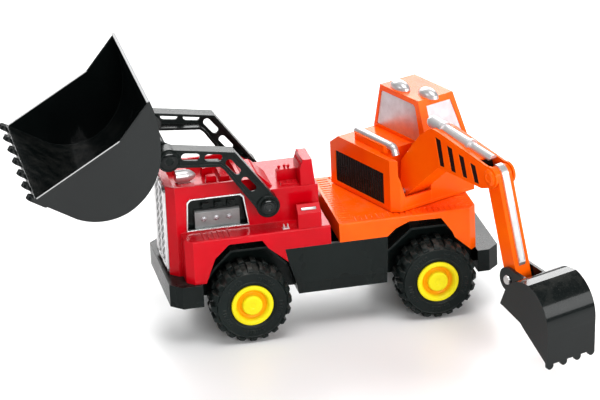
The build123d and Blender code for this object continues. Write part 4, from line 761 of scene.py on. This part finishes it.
def make_elbow_caps():
    """Round orange cap on each side of the boom at the elbow, and the dimpled pin ends."""
    elbow = Vector(joints["stick_swing"]["pos_m"])
    section = ((5.6, -0.3), (5.5, 0.4), (4.6, 1.0), (2.9, 1.15), (2.5, 0.7), (0.0, 0.7))
    for hand, side in (("left", 1), ("right", -1)):
        cap = lathe([(r * MM, a * MM) for r, a in section], 40)
        place(cap, along_y(side, (0, side * ELBOW_HALF, 0)))
        turn = Matrix.Rotation(math.atan2(ALONG.y, ALONG.x), 4, "Z")
        place(cap, Matrix.Translation(elbow) @ turn)
        add_piece(cap, f"elbow_cap_{hand}", "boom", "orange_plastic")


def make_strip_ribs():
    """Two fine ridges along the silver strip that runs down the stick."""
    elbow = Vector(joints["stick_swing"]["pos_m"])
    hinge = Vector(joints["hoe_curl"]["pos_m"])
    run = hinge - elbow
    down = run.normalized()
    side = Vector((across.x, across.y, 0)).normalized()
    outwards = side.cross(down)
    if outwards.dot(ALONG) < 0:
        outwards = -outwards
    axes = Matrix((down, side, outwards)).transposed().to_4x4()
    mesh = bmesh.new()
    length = run.length
    for edge in (-1, 1):
        centre = (length / 2 - 4.0 * MM, edge * RIDGE_OFFSET, RIDGE_HEIGHT)
        add_block(mesh, centre, (length - 14.0 * MM, 0.7 * MM, 0.5 * MM), 0.2 * MM)
    place(mesh, Matrix.Translation(elbow) @ axes)
    add_piece(mesh, "stick_strip_ridges", "dipper", "chrome_trim")


make_roof_lamps()
make_elbow_caps()
make_strip_ribs()


# ------------------------------------------------------------------ stage, light and camera

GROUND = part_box("front_left_tyre")[0].z


def make_floor():
    mesh = bmesh.new()
    bmesh.ops.create_grid(mesh, x_segments=1, y_segments=1, size=6.0)
    bmesh.ops.translate(mesh, verts=mesh.verts, vec=(0, 0, GROUND))
    data = bpy.data.meshes.new("floor")
    mesh.to_mesh(data)
    mesh.free()
    floor = bpy.data.objects.new("floor", data)
    bpy.context.scene.collection.objects.link(floor)
    material, n, shader, place = start_material("pale_floor")
    cloud = n.noise(place, 3.0, 3.0)
    n.tree.links.new(n.mix(cloud, (0.93, 0.93, 0.93, 1), (0.9, 0.9, 0.9, 1)), shader.inputs["Base Color"])
    shader.inputs["Roughness"].default_value = 0.35
    data.materials.append(material)


def make_light(name, place, aim, width, height, power):
    light = bpy.data.lights.new(name, "AREA")
    light.shape = "RECTANGLE"
    light.size = width
    light.size_y = height
    light.energy = power
    lamp = bpy.data.objects.new(name, light)
    lamp.location = place
    lamp.rotation_euler = (Vector(aim) - Vector(place)).to_track_quat("-Z", "Y").to_euler()
    bpy.context.scene.collection.objects.link(lamp)


def make_camera():
    """A long lens, a little above the left front of the vehicle."""
    turn, tilt, roll = math.radians(11.513), math.radians(22.799), math.radians(-2.508)
    back = Vector((math.sin(turn) * math.cos(tilt), math.cos(turn) * math.cos(tilt), math.sin(tilt)))
    right = (-back).cross(Vector((0, 0, 1))).normalized()
    up = right.cross(-back)
    rolled_right = math.cos(roll) * right + math.sin(roll) * up
    rolled_up = -math.sin(roll) * right + math.cos(roll) * up
    camera = bpy.data.objects.new("camera", bpy.data.cameras.new("camera"))
    camera.data.lens = 199.67
    camera.data.sensor_width = 36.0
    axes = Matrix((rolled_right, rolled_up, back)).transposed().to_4x4()
    camera.matrix_world = Matrix.Translation((0.4395, 2.0691, 0.9385)) @ axes
    bpy.context.scene.collection.objects.link(camera)
    bpy.context.scene.camera = camera


def make_world():
    world = bpy.data.worlds.new("white_studio")
    world.use_nodes = True
    background = world.node_tree.nodes["Background"]
    background.inputs["Color"].default_value = (1.0, 1.0, 1.0, 1.0)
    background.inputs["Strength"].default_value = 0.22
    bpy.context.scene.world = world


make_floor()
make_world()
make_light("overhead", (0.1, 0.3, 1.6), (0.0, 0.0, 0.05), 1.2, 0.9, 13.0)
make_light("back_panel", (-0.1, -1.6, 0.95), (0.0, 0.0, 0.05), 2.4, 0.9, 30.0)
make_light("camera_key", (-0.3, 2.3, 0.8), (0.0, 0.0, 0.06), 1.4, 0.5, 30.0)
make_light("rear_key", (-1.5, 0.9, 0.6), (0.0, 0.0, 0.05), 0.7, 0.8, 6.0)
make_light("front_key", (1.6, 0.1, 0.6), (0.0, 0.0, 0.05), 0.6, 0.9, 3.5)
make_camera()
bpy.context.scene.view_settings.view_transform = "Standard"
bpy.context.scene.view_settings.look = "Medium High Contrast"
